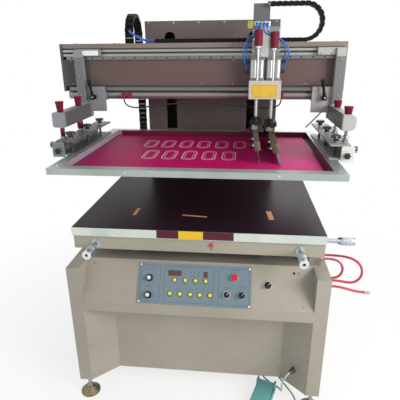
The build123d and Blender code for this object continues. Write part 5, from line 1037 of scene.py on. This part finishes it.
class PRINTER_OT_beam(bpy.types.Operator):
    """Finish the beam, its cover, rails, lower tube and sensors"""

    bl_idname = "printer.beam"
    bl_label = "Beam and lifting head"

    def execute(self, context):
        palette = colours()
        beam = painted("beam_paint", palette.beam).zones(
            ((-0.6599, 0.0, 1.4571), (0.5939, 0.0299, 1.4851), (0.33, 0.345, 0.33), 0.85, 0.42),
            ((-0.6599, 0.0085, 1.4672), (0.5939, 0.02, 1.4748), (0.05, 0.055, 0.05), 0.3, 0.5),
            ((-0.65, 0.0, 1.4421), (0.59, 0.0299, 1.4569), RAIL_METAL, 0.9, 0.35),
            ((-0.65, 0.0, 1.3069), (0.59, 0.0299, 1.3221), RAIL_METAL, 0.9, 0.35),
            ((-0.65, 0.0021, 1.4462), (0.59, 0.0073, 1.4528), (0.006, 0.006, 0.006), 0.0, 0.8),
            ((-0.653, 0.0, 1.26), (0.607, 0.06, 1.3029), (0.27, 0.25, 0.245), 0.55, 0.34),
            ((-0.68, -0.02, 1.25), (-0.6559, 0.16, 1.52), DARK_OLIVE, 0.0, 0.45),
            *[((x - 0.0095, -0.0045, 1.2695), (x + 0.0095, 0.012, 1.2975), SENSOR_RED, 0.0, 0.35) for x in SENSORS],
        )
        dress("beam", beam)
        dress("beam_cover", painted("cover_paint", palette.cover, 0.36, specular=0.3).zones(
            ((-0.65, -0.02, 1.32), (-0.535, 0.05, 1.45), DARK_OLIVE, 0.0, 0.45)
        ))
        dress("drive_cylinder", bare_metal("drive_alloy", (0.55, 0.56, 0.56), 0.3, (50, 1, 1)))
        dress("lift_frame", painted("lift_paint", (0.055, 0.052, 0.05), 0.5).zones(
            ((-0.03, 0.40, 0.95), (0.03, 0.48, 1.3349), (0.6, 0.6, 0.6), 1.0, 0.15)
        ))
        olive = painted("end_filler_paint", DARK_OLIVE, 0.45, 0.0008)
        for name, x, finish in (("left", -0.651, olive), ("right", 0.585, beam)):
            filler = plate(0.0176, 0.1165, 0.0008, (-0.0040, -0.0004), 0.0004, (x, 0.010, 1.3845), FACING_FRONT)
            piece(name + "_filler_plate", "head", finish, "beam_paint", filler)

        ends = ((0.03, 0.11), (1.33, 1.40, 1.47))
        screw_set(
            "beam_screws", "head", bare_metal("beam_screw", (0.30, 0.30, 0.30), 0.3),
            (grid((-0.625, -0.32, -0.02, 0.12, 0.44, 0.56), 0.010, (1.336, 1.437)), FRONT, 0.0032, 0.0018),
            (grid(-0.672, *ends), (-1, 0, 0)), (grid(0.606, *ends), (1, 0, 0)),
            (grid((-0.6, -0.42, 0.56), (0.03, 0.11), 1.511), UP),
        )
        eye = [(0.0032, 0.0), (0.0032, 0.0005), (0.0018, 0.0008)]
        eyes = [turned(eye, place, FRONT, 16) for place in grid(SENSORS, -0.004, (1.277, 1.290))]
        lens = plain("sensor_lens", (0.02, 0.004, 0.006), 0.25, 0.003, 0.3)
        piece("sensor_eyes", "head", lens, "red_button", *eyes)
        return {"FINISHED"}


# Carriage

ROW_X, ROW_Z = (0.216, 0.231, 0.246, 0.261), 1.580
SIDE_FITTING = [(0.0062, 0), (0.0062, 0.004), (0.0052, 0.0045), (0.0052, 0.015), (0.0040, 0.018)]
SIDE_COLLAR = [
    (0.0046, -0.005), (0.0054, -0.0035), (0.0054, 0.0045), (0.0060, 0.005), (0.0060, 0.0075), (0.0050, 0.0082)
]
ROW_NOZZLE = [(0.0058, 0), (0.0062, 0.001), (0.0062, 0.006), (0.0048, 0.0065), (0.0048, 0.0138), (0.003, 0.0142)]
ROW_CAP = [(0.0048, 0.0), (0.0052, 0.003), (0.0052, 0.0095), (0.0046, 0.0112)]
ROW_CENTRE = [(0.0026, 0.0), (0.0026, 0.0008), (0.0015, 0.0012)]


class PRINTER_OT_carriage(bpy.types.Operator):
    """Make the air cylinders and finish the carriage, its box and its fittings"""

    bl_idname = "printer.carriage"
    bl_label = "Carriage and air cylinders"

    def execute(self, context):
        palette = colours()
        dress("carriage", painted("carriage_paint", (0.52, 0.50, 0.46), 0.38, 0.001).zones(
            ((0.19, -0.0205, 1.28), (0.33, 0.04, 1.5711), (0.26, 0.27, 0.26), 0.8, 0.4),
            ((0.23, -0.0505, 1.449), (0.27, -0.0195, 1.572), (0.60, 0.61, 0.60), 0.9, 0.35),
            ((0.2, -0.03, 1.5709), (0.28, 0.0705, 1.68), (0.125, 0.125, 0.122), 0.2, 0.5),
        ))
        centre = (0.2565, -0.100, 1.315)
        label = plain("bare_label", palette.yellow_label, 0.3, 0.03, 0.12, coat=0.4)
        sheet = plate(0.105, 0.054, 0.002, (-0.0001, 0.0005), 0.0001, centre, FACING_FRONT)
        piece("box_label", "carriage", label, "carriage_grey", sheet)
        line = ribbon(rounded(0.099, 0.048, 0.0015, 3), 0.0009, 0.0003, 0.0006, centre, FACING_FRONT)
        brown = plain("label_border", (0.33, 0.10, 0.02), 0.4, 0.01, 0.2)
        piece("label_border", "carriage", brown, "carriage_grey", line)

        # Each cylinder's body has two round lobes to the front and a flat back
        back = [(0.0306, 0.0), (0.0306, 0.0236), (0.0294, 0.0248)]
        back += [(-x, y) for x, y in reversed(back)]
        outline = np.concatenate([*(arc((x, -0.0098), 0.0150, 180, 360, 14) for x in (-0.0156, 0.0156)), back])
        bodies, ends, fittings, collars = [], [], [], []
        for x, side in ((0.224, -1), (0.293, 1)):
            origin, outer = (x, -0.049, 0), x + side * 0.031
            bodies.append(slab(outline, 1.366, 1.439, 0.0003, origin))
            for heights in ((1.3572, 1.3668), (1.4382, 1.4470)):
                ends.append(plate(0.0615, 0.0496, 0.004, heights, 0.0007, origin, steps=4))
            for level in (1.391, 1.431):
                place = (outer, -0.049, level)
                fittings.append(turned(SIDE_FITTING, place, (side, 0, 0), 24, 6, 0.0009, (0, 0.004)))
                collars.append(turned(SIDE_COLLAR, (outer + side * 0.013, -0.049, level), UP, 24))
        alloy = bare_metal("cylinder_alloy", (0.46, 0.47, 0.46), 0.42, (1, 1, 60))
        piece("cylinder_bodies", "carriage", alloy, "alloy", *bodies, replaces=["lift_cylinders"])
        piece("cylinder_ends", "carriage", bare_metal("cylinder_dark", (0.20, 0.20, 0.20), 0.4), "alloy", *ends)
        black = moulded("fitting_black", palette.black, 0.35)
        piece("side_fittings", "carriage", black, "chain_black", *fittings, *collars)
        body = plate(0.066, 0.0215, 0.0015, (1.5711, 1.5888), 0.0006, (0.239, -0.039, 0))
        block = bare_metal("manifold_alloy", (0.50, 0.52, 0.52), 0.35, (40, 1, 1))
        piece("manifold", "carriage", block, "steel", body, *screws(grid((0.224, 0.254), -0.039, 1.5888), UP, 0.004))
        nozzles = [turned(ROW_NOZZLE, (x, -0.0500, ROW_Z), FRONT, 24, 6, 0.0007, (0.001, 0.006)) for x in ROW_X]
        caps = [turned(ROW_CAP, (x, -0.0585, ROW_Z), DOWN, 24) for x in ROW_X]
        blue = moulded("fitting_blue", (0.03, 0.20, 0.62), 0.25)
        piece("row_fittings", "carriage", blue, "blue_tube", *nozzles, *caps)
        centres = [turned(ROW_CENTRE, (x, -0.0640, ROW_Z), FRONT, 14) for x in ROW_X]
        piece("row_fitting_centres", "carriage", black, "chain_black", *centres)
        screw_set(
            "carriage_screws", "carriage", bare_metal("carriage_screw", (0.5, 0.5, 0.5), 0.3),
            (grid((0.1965, 0.3205), -0.100, (1.287, 1.351)), FRONT, 0.0026, 0.0016),
            (grid((0.206, 0.311), -0.020, (1.475, 1.52, 1.555)), FRONT, 0.004, 0.0025),
        )
        return {"FINISHED"}


# Squeegee and flood bar

BLADES = (  # pivot across and up, lean in degrees and half the holder's thickness
    ("squeegee", 0.286, 1.158, 20, 0.014), ("flood_blade", 0.221, 1.167, 10, 0.011),
)
CLAMP_WASHER = [(0.0085, 0), (0.0085, 0.0018), (0.0060, 0.0025), (0.0042, 0.0026), (0.0042, 0.008)]
CLAMP_KNOB = [(0.0070, 0.0060), (0.0098, 0.0068), (0.0098, 0.0145), (0.0082, 0.0160), (0.003, 0.0162)]
STROKE_KNOB = [
    (0.0130, 0.0), (0.0160, 0.0010), (0.0165, 0.0022), (0.0165, 0.0590), (0.0156, 0.0615), (0.0138, 0.0628),
    (0.006, 0.0630), (0.005, 0.0622)
]
STROKE_NUT = [(0.0108, 0.0), (0.0112, 0.0006), (0.0112, 0.0094), (0.0108, 0.0100)]


class PRINTER_OT_blades(bpy.types.Operator):
    """Finish the lifts, the squeegee and the flood bar, and make the stroke knobs"""

    bl_idname = "printer.blades"
    bl_label = "Squeegee and flood bar"

    def execute(self, context):
        palette = colours()
        for name, rise in (("squeegee_lift", 0.0), ("flood_lift", 0.009)):
            lift = Finish(name + "_black", (0.011, 0.011, 0.011), 0.35, specular=0.3)
            lift.soften(0.001)
            lift.zone((0.19, -0.11, 1.199 + rise), (0.32, -0.03, 1.6), (0.56, 0.56, 0.55), 0.6, 0.36)
            lift.shade(0.05, 0.12)
            lift.wear(0.03, 0.10, (1, 1, 6))
            lift.zone((0.19, -0.13, 1.15), (0.32, -0.11, 1.1674 + rise), (0.4, 0.4, 0.4), 1.0, 0.3)
            dress(name, lift)
        dress("squeegee", bare_metal("holder_bronze", (0.30, 0.235, 0.185), 0.38, (1, 60, 1)).zones(
            ((0.0, -0.36, 1.0), (0.6, 0.2, 1.1085), (0.18, 0.185, 0.19), 0.0, 0.5)
        ))
        dress("flood_blade", bare_metal("flood_bronze", (0.28, 0.22, 0.175), 0.38, (1, 60, 1)).zones(
            ((0.0, -0.36, 1.0), (0.6, 0.2, 1.1165), (0.42, 0.43, 0.43), 1.0, 0.25)
        ))

        plastic = moulded("clamp_knob_black", palette.black, 0.3)
        bronze = bare_metal("end_plate_bronze", (0.20, 0.155, 0.125), 0.42)
        chrome = bare_metal("clamp_chrome", (0.78, 0.78, 0.76), 0.15)
        for name, x, z, lean, half in BLADES:
            down = np.array([sin(radians(lean)), 0, -cos(radians(lean))])
            out = np.array([down[2], 0, -down[0]])
            feet = [np.array([x, y, z]) + down * 0.034 + out * half for y in (-0.333, -0.215, 0.055, 0.172)]
            knobs = [turned(CLAMP_KNOB, foot, out, 48, 12, 0.0014, (0.0068, 0.0145)) for foot in feet]
            axes = np.array([(0, 1, 0), np.cross(down, (0, 1, 0)), down])
            end = (0.004, 2 * half + 0.002, 0.001, (0.0175, 0.0525), 0.0006)
            ends = [plate(*end, (x, y, z), axes) for y in (-0.3515, 0.1915)]
            piece(name + "_knobs", name, plastic, "black_knob", *knobs)
            piece(name + "_washers", name, chrome, "steel", *[turned(CLAMP_WASHER, foot, out, 28) for foot in feet])
            piece(name + "_end_plates", name, bronze, "clamp_black", *ends)

        red = moulded("knob_crimson", palette.knob, 0.4, 0.18)
        metal = bare_metal("rod_nut", (0.75, 0.75, 0.74), 0.25)
        for name, (x, foot) in STROKE_KNOBS.items():
            flutes = (sizes().knob_flutes, 0.0011, (0.0022, 0.0590))
            grip = turned(STROKE_KNOB, (x, -0.088, foot), UP, 120, *flutes)
            piece(name + "_grip", name, red, "red_knob", grip, replaces=[name])
            lift = "flood_lift" if name.endswith("left") else "squeegee_lift"
            nut = turned(STROKE_NUT, (x, -0.088, foot - 0.0105), UP, 48, 6, 0.0011, (0, 0.01))
            piece(name + "_nut", lift, metal, "steel", nut)
        return {"FINISHED"}


# Screen

MESH_X, MESH_Y, MESH_TOP, MESH_THICK = (-0.489, 0.489), (-0.504, 0.212), 1.0605, 0.0005
MOTIF_ROWS = ((0.000, np.linspace(-0.262, 0.158, 6)), (-0.215, np.linspace(-0.220, 0.116, 5)))


class PRINTER_OT_screen(bpy.types.Operator):
    """Make the coated mesh with its open lines and finish the screen frame"""

    bl_idname = "printer.screen"
    bl_label = "Screen"

    def execute(self, context):
        palette = colours()
        # The frame's corners are mitred: a dark seam where the distances to the two nearest outer sides are equal
        metal = bare_metal("frame_alloy", palette.frame_metal, 0.38, (50, 1, 1))
        metal.mix("Metallic", 1.0, 0.75)
        x, y, _ = metal.add("SeparateXYZ", metal.place).outputs
        side = metal.sum("SUBTRACT", 0.531, metal.sum("ABSOLUTE", x))
        end = metal.sum("MINIMUM", metal.sum("ADD", y, 0.546), metal.sum("SUBTRACT", 0.254, y))
        seam = metal.sum("LESS_THAN", metal.sum("ABSOLUTE", metal.sum("SUBTRACT", side, end)), 0.0006)
        metal.mix("Base Color", seam, (0.08, 0.08, 0.08))
        speck = metal.sum("GREATER_THAN", metal.noise(0.006, 6.0), 0.70)
        metal.mix("Base Color", speck, (0.10, 0.09, 0.10))
        dress("screen_frame", metal.zones(
            ((-0.4895, -0.5045, 1.0600), (0.4895, 0.2125, 1.0838), (0.13, 0.006, 0.030), 0.0, 0.4),
            ((-0.4895, -0.5045, 1.0600), (-0.470, 0.2125, 1.0838), (0.36, 0.28, 0.36), 0.0, 0.4),
        ))

        cloth = Finish("coated_mesh", palette.mesh_middle, 0.5, specular=0.08)
        across = cloth.add("SeparateXYZ", cloth.place).outputs[0]
        # Darker towards the left with painted shade, lighter towards the right with painted light
        cloth.mix("Base Color", cloth.fade(across, -0.10, -0.46), palette.mesh_left_painted_shade)
        cloth.mix("Base Color", cloth.fade(across, 0.16, 0.44), palette.mesh_right_painted_light)
        cloth.shade(0.10, 0.10)
        cloth.shade(0.012, 0.06)
        for direction in ("X", "Y"):
            weave = cloth.add("TexWave", cloth.place, wave_type="BANDS", bands_direction=direction)
            weave.inputs["Scale"].default_value = 300.0
            cloth.relief(weave.outputs["Fac"], 0.00003, 0.3)
        border = cloth.sum("SUBTRACT", 1.0, cloth.inside((-0.476, -0.490, 1.0), (0.470, 0.198, 1.1)))
        cloth.mix("Base Color", border, (0.13, 0.006, 0.035))
        cloth.mix("Roughness", border, 0.2)

        # A closed sheet: a grid on either side, and a wall round the rim
        rows, columns = 31, 41
        count = rows * columns
        top, upper = flat_grid(np.linspace(*MESH_X, columns), np.linspace(*MESH_Y, rows), MESH_TOP)
        rim = np.concatenate([
            np.arange(columns), np.arange(2 * columns - 1, count, columns),
            np.arange(count - 2, count - columns - 1, -1), np.arange(count - 2 * columns, 0, -columns)
        ])
        following = np.roll(rim, -1)
        wall = np.stack([following, rim, rim + count, following + count], -1)
        points = np.concatenate([top, top - (0, 0, MESH_THICK)])
        faces = np.concatenate([upper, upper[:, ::-1] + count, wall]).tolist()
        mesh = piece("mesh_cloth", "screen", cloth, "mesh_fabric", (points, faces), replaces=["screen_mesh"])

        outer, inner = rounded(0.058, 0.150, 0.028, 9), rounded(0.036, 0.118, 0.017, 9)
        motifs, width = [], sizes().print_line
        for y, places in MOTIF_ROWS:
            for x in places:
                motifs.append(ribbon(outer, width, -0.0001, 0.00025, (x, y, MESH_TOP)))
                motifs.append(ribbon(inner, width * 0.45, -0.0001, 0.00025, (x, y, MESH_TOP)))
        piece("open_lines", "screen", plain("open_line", (0.74, 0.66, 0.70), 0.5, 0.006, 0.2), "mesh_fabric", *motifs)
        screw_set(
            "frame_rivets", "screen", bare_metal("rivet_alloy", (0.7, 0.7, 0.68), 0.3),
            (grid((-0.505, 0.505), (-0.51, 0.218), 1.084), UP, 0.004, 0.0015),
            (grid((-0.24, 0.30), -0.546, 1.072), FRONT, 0.0035, 0.0015), slot="alloy",
        )
        return {"FINISHED"}


# Arms and clamps

ARMS = (  # side, name, and the shades of the arm, the clamp and its end plate; the left ones are darker with painted shade
    (-1, "left", (0.68, 0.72, 0.78), 0.34, (0.20, 0.225, 0.21)),
    (1, "right", (1.0, 1.0, 1.0), 0.80, (0.62, 0.62, 0.60)),
)
CLAMP_SCREWS, HEIGHT_SCREWS = (-0.315, -0.128, 0.038), (-0.300, -0.110)  # places along the machine's depth
LEVER_HUB = [
    (0.0092, 0.0145), (0.0108, 0.0160), (0.0112, 0.0220), (0.0112, 0.0405), (0.0100, 0.0432), (0.0062, 0.0443)
]
LEVER_GRIP = [
    (0.0078, 0.004), (0.0082, 0.012), (0.0066, 0.026), (0.0062, 0.036), (0.0070, 0.052), (0.0082, 0.066),
    (0.0082, 0.073), (0.0062, 0.0785), (0.0022, 0.0805)
]
STAR_KNOB = [
    (0.0098, 0.0), (0.0098, 0.0095), (0.0150, 0.0108), (0.0196, 0.0122), (0.0196, 0.0205), (0.0170, 0.0226),
    (0.004, 0.0232)
]
STAR_FOOT = [(0.0085, 0), (0.0085, 0.002), (0.0055, 0.0035), (0.0055, 0.0081)]
SHORT_STAR = [
    (0.0064, 0.0), (0.0064, 0.006), (0.0105, 0.0070), (0.0131, 0.0078), (0.0131, 0.0136), (0.0115, 0.0149),
    (0.003, 0.0152)
]
LONG_STAR = [
    (0.0064, 0.0), (0.0064, 0.0125), (0.0105, 0.0135), (0.0131, 0.0145), (0.0131, 0.0250), (0.0115, 0.0266),
    (0.003, 0.0270)
]
CLAMP_NUT = [(0.0122, 0.0), (0.0122, 0.0078), (0.0105, 0.0086)]
LOCK_RING = [(0.0112, 0.0), (0.0116, 0.0008), (0.0116, 0.0034), (0.0108, 0.0042)]


class PRINTER_OT_arms(bpy.types.Operator):
    """Finish the side arms and the screen clamps, and make their levers and knobs"""

    bl_idname = "printer.arms"
    bl_label = "Arms and clamps"

    def execute(self, context):
        palette = colours()
        black = moulded("star_knob_black", palette.black, 0.3)
        lever = moulded("lever_black", (0.006, 0.006, 0.006), 0.4, 0.15)
        crimson = moulded("height_knob_crimson", palette.knob, 0.4, 0.18)
        steel = bare_metal("screw_dark", (0.35, 0.35, 0.35), 0.3)
        for side, name, arm_painted_shade, clamp_painted_shade, plate_colour in ARMS:
            # The left arm, clamp and end plate are darker copies of the right ones' paint: painted shade
            arm, clamp = (tuple(np.array(palette.arm) * shade) for shade in (arm_painted_shade, clamp_painted_shade))
            dress(name + "_arm", painted(name + "_arm_paint", arm, 0.4, 0.002).zones(
                # The first zone darkens the posts: painted shade
                ((0.5556, -0.04, 1.2541), (0.62, 0.05, 1.4519), (0.16, 0.16, 0.16), 0.2, 0.4, BOTH),
                ((0.5425, -0.3001, 1.189), (0.5445, 0.021, 1.251), (0.10, 0.10, 0.105), 0.0, 0.45, BOTH),
                ((0.51, -0.0445, 1.27), (0.53, -0.0139, 1.29), (0.3, 0.3, 0.3), 1.0, 0.3, BOTH),
                ((0.45, -0.0001, 1.10), (0.5385, 0.16, 1.2139), (0.35, 0.35, 0.35), 1.0, 0.3, BOTH),
            ))
            dress(name + "_clamp", painted(name + "_clamp_paint", clamp, 0.4, 0.001).zones(
                ((0.4995, -0.3499, 1.0912), (0.5689, 0.1305, 1.1368), (0.045, 0.045, 0.05), 0.0, 0.5, BOTH),
                ((0.45, -0.35, 1.02), (0.54, 0.14, 1.0849), (0.16, 0.16, 0.17), 0.3, 0.45, BOTH),
                ((0.545, -0.32, 1.1431), (0.58, -0.09, 1.3), (0.22, 0.22, 0.22), 1.0, 0.3, BOTH),
                ((0.515, -0.33, 1.1431), (0.535, 0.06, 1.18), (0.10, 0.10, 0.10), 0.5, 0.35, BOTH),
            ))
            pivot = np.array([side * 0.520, 0.0, 1.280])
            hub = turned(LEVER_HUB, pivot, FRONT, 40)
            grip = turned(LEVER_GRIP, pivot + (0, -0.034, 0), (sin(radians(-10)), 0, cos(radians(-10))), 32)
            piece(name + "_lever_handle", name + "_lever", lever, "black_knob", hub, grip, replaces=[name + "_lever"])
            row = ([pivot + (0, -0.0441, 0)], FRONT, 0.0052, 0.0022)
            screw_set(name + "_lever_screw", name + "_lever", steel, row)

            places = grid(side * 0.525, CLAMP_SCREWS, 1.151)
            stars = [turned(STAR_KNOB, place, UP, 72, 6, 0.0050, (0.0108, 0.0226)) for place in places]
            lobes = (72, 6, 0.0032)
            stars.append(turned(SHORT_STAR, (side * 0.561, -0.358, 1.104), FRONT, *lobes, (0.0070, 0.0149)))
            stars.append(turned(LONG_STAR, (side * 0.575, -0.336, 1.124), (side, 0, 0), *lobes, (0.0135, 0.0266)))
            piece(name + "_star_knobs", name + "_clamp", black, "black_knob", *stars)
            feet = [turned(STAR_FOOT, place, UP, 28) for place in grid(side * 0.525, CLAMP_SCREWS, 1.143)]
            places = grid(side * 0.563, HEIGHT_SCREWS, 1.1432)
            nuts = [turned(CLAMP_NUT, place, UP, 48, 6, 0.0014, (0, 0.0078)) for place in places]
            piece(name + "_clamp_nuts", name + "_clamp", steel, "steel", *feet, *nuts)
            end = plate(0.048, 0.060, 0.004, (0.0, 0.0086), 0.0008, (side * 0.5645, -0.3497, 1.1085), FACING_FRONT, 4)
            paint = painted(name + "_plate_paint", plate_colour, 0.35)
            piece(name + "_end_plate", name + "_clamp", paint, "arm_alloy", end)
            rows = [(grid(side * 0.5735, -0.034, (1.290, 1.370, 1.440)), FRONT, 0.0045)]
            if side > 0:
                rows.append((grid((0.490, 0.535), -0.020, 1.4625), FRONT, 0.0036, 0.0025))
            rows.append((grid((side * 0.480, side * 0.555), -0.014, (1.228, 1.312)), FRONT, 0.004, 0.0025))
            screw_set(name + "_arm_screws", name + "_arm", steel, *rows)

        # The left sleeves' crimson is a painted reflection of red; the right clamp has steel lock rings in their
        # place
        sleeves = []
        for y, ends, wide in ((-0.300, (0.0083, 0.0080), 0.0092), (-0.110, (0.0120, 0.0120), 0.0134)):
            sleeve = [(ends[0], 0.0), (wide, 0.002), (wide, 0.0310), (ends[1], 0.0340)]
            sleeves.append(turned(sleeve, (-0.563, y, 1.1510), UP, 36))
        piece("left_sleeves", "left_clamp", crimson, "red_knob", *sleeves)
        places = grid(0.563, HEIGHT_SCREWS, (1.1550, 1.1640))
        rings = [turned(LOCK_RING, place, UP, 48, 24, 0.0005, (0.0008, 0.0034)) for place in places]
        piece("right_lock_rings", "right_clamp", steel, "steel", *rings)
        for name, (x, y) in HEIGHT_KNOBS.items():
            tall, wide, foot = (0.042, 0.017, 0.0120) if x < 0 else (0.029, 0.0175, 0.0130)
            knob = turned([
                (foot - 0.0008, 0.0002), (foot + 0.0002, 0.0012), (0.45 * foot + 0.55 * wide, 0.69 * tall),
                (wide - 0.0003, 0.9 * tall), (wide, tall - 0.0015), (wide - 0.0015, tall), (0.006, tall + 0.0004),
                (0.0052, tall - 0.0004)
            ], (x, y, 1.250), UP, 120, sizes().knob_flutes, 0.0012, (0.0012, tall - 0.0015))
            piece(name + "_grip", name, crimson, "red_knob", knob, replaces=[name])
        patch = plate(0.084, 0.020, 0.002, (-0.0001, 0.0004), 0.0001, (-0.5245, -0.020, 1.4715), FACING_FRONT)
        piece("arm_patch", "left_arm", plain("bare_patch", (0.88, 0.89, 0.89), 0.5, 0.02, 0.1), "arm_alloy", patch)
        return {"FINISHED"}


# Foot pedal

PEDAL_ORIGIN, PEDAL_TURN = np.array([0.3155, -0.3855, 0.0]), radians(-18)
PEDAL_AXES = np.array([[cos(PEDAL_TURN), sin(PEDAL_TURN), 0], [-sin(PEDAL_TURN), cos(PEDAL_TURN), 0], [0, 0, 1]])


def on_pedal(x, y, z):
    """A place on the foot pedal, which stands askew on the floor."""
    return PEDAL_ORIGIN + np.array([x, y, z]) @ PEDAL_AXES


class PRINTER_OT_pedal(bpy.types.Operator):
    """Finish the foot pedal and make its ribbed tread"""

    bl_idname = "printer.pedal"
    bl_label = "Foot pedal"

    def execute(self, context):
        teal = colours().pedal
        dress("pedal_base", painted("pedal_paint", teal, 0.4, 0.002))
        tread = plate(0.0714, 0.132, 0.006, (0.0402, 0.0478), 0.001, on_pedal(0, -0.0845, 0), PEDAL_AXES, 5)
        hub_profile = [(0.0072, -0.0356), (0.0079, -0.0346), (0.0079, 0.0346), (0.0072, 0.0356)]
        hub = turned(hub_profile, on_pedal(0, -0.016, 0.042), PEDAL_AXES[0], 32)
        rib, places = (0.058, 0.0042, 0.0020, (0.0474, 0.0492), 0.0006), -0.040 - 0.0095 * np.arange(11)
        ribs = [plate(*rib, on_pedal(0, y, 0), PEDAL_AXES, 4) for y in places]
        paint = painted("tread_paint", teal, 0.42, 0.001)
        piece("pedal_tread", "pedal_plate", paint, "pedal_teal", tread, hub, *ribs, replaces=["pedal_plate"])
        pin = [(0.0062, 0.0), (0.0062, 0.0012), (0.0045, 0.0024)]
        ends = [turned(pin, on_pedal(side * 0.043, -0.016, 0.042), side * PEDAL_AXES[0], 24) for side in (-1, 1)]
        piece("pedal_pin_ends", "base", bare_metal("pedal_pin", (0.6, 0.6, 0.6), 0.25), "steel", *ends)
        return {"FINISHED"}


class PRINTER_PT_panel(bpy.types.Panel):
    """Sidebar panel with the machine's pieces"""

    bl_idname = "PRINTER_PT_panel"
    bl_label = "Screen Printing Machine"
    bl_space_type = "VIEW_3D"
    bl_region_type = "UI"
    bl_category = "Printer"

    def draw(self, context):
        for maker in MAKERS:
            self.layout.operator(maker.bl_idname)
        for group in (context.scene.printer_colours, context.scene.printer_sizes):
            column = self.layout.column(align=True)
            for name in group.bl_rna.properties.keys():
                if name not in ("rna_type", "name"):
                    column.prop(group, name)


MAKERS = (
    PRINTER_OT_camera, PRINTER_OT_cords, PRINTER_OT_stage, PRINTER_OT_chains, PRINTER_OT_cabinet, PRINTER_OT_controls,
    PRINTER_OT_table, PRINTER_OT_beam, PRINTER_OT_carriage, PRINTER_OT_blades, PRINTER_OT_screen, PRINTER_OT_arms,
    PRINTER_OT_pedal,
)
CLASSES = (PrinterColours, PrinterSizes, *MAKERS, PRINTER_PT_panel)


def register():
    """Registers the classes and their settings."""
    for each in CLASSES:
        bpy.utils.register_class(each)
    bpy.types.Scene.printer_colours = PointerProperty(type=PrinterColours)
    bpy.types.Scene.printer_sizes = PointerProperty(type=PrinterSizes)


def unregister():
    """Takes the classes and their settings away again."""
    del bpy.types.Scene.printer_sizes
    del bpy.types.Scene.printer_colours
    for each in reversed(CLASSES):
        bpy.utils.unregister_class(each)


def main():
    """Makes every piece in turn."""
    register()
    for maker in MAKERS:
        group, name = maker.bl_idname.split(".")
        getattr(getattr(bpy.ops, group), name)()


if __name__ == "__main__":
    main()
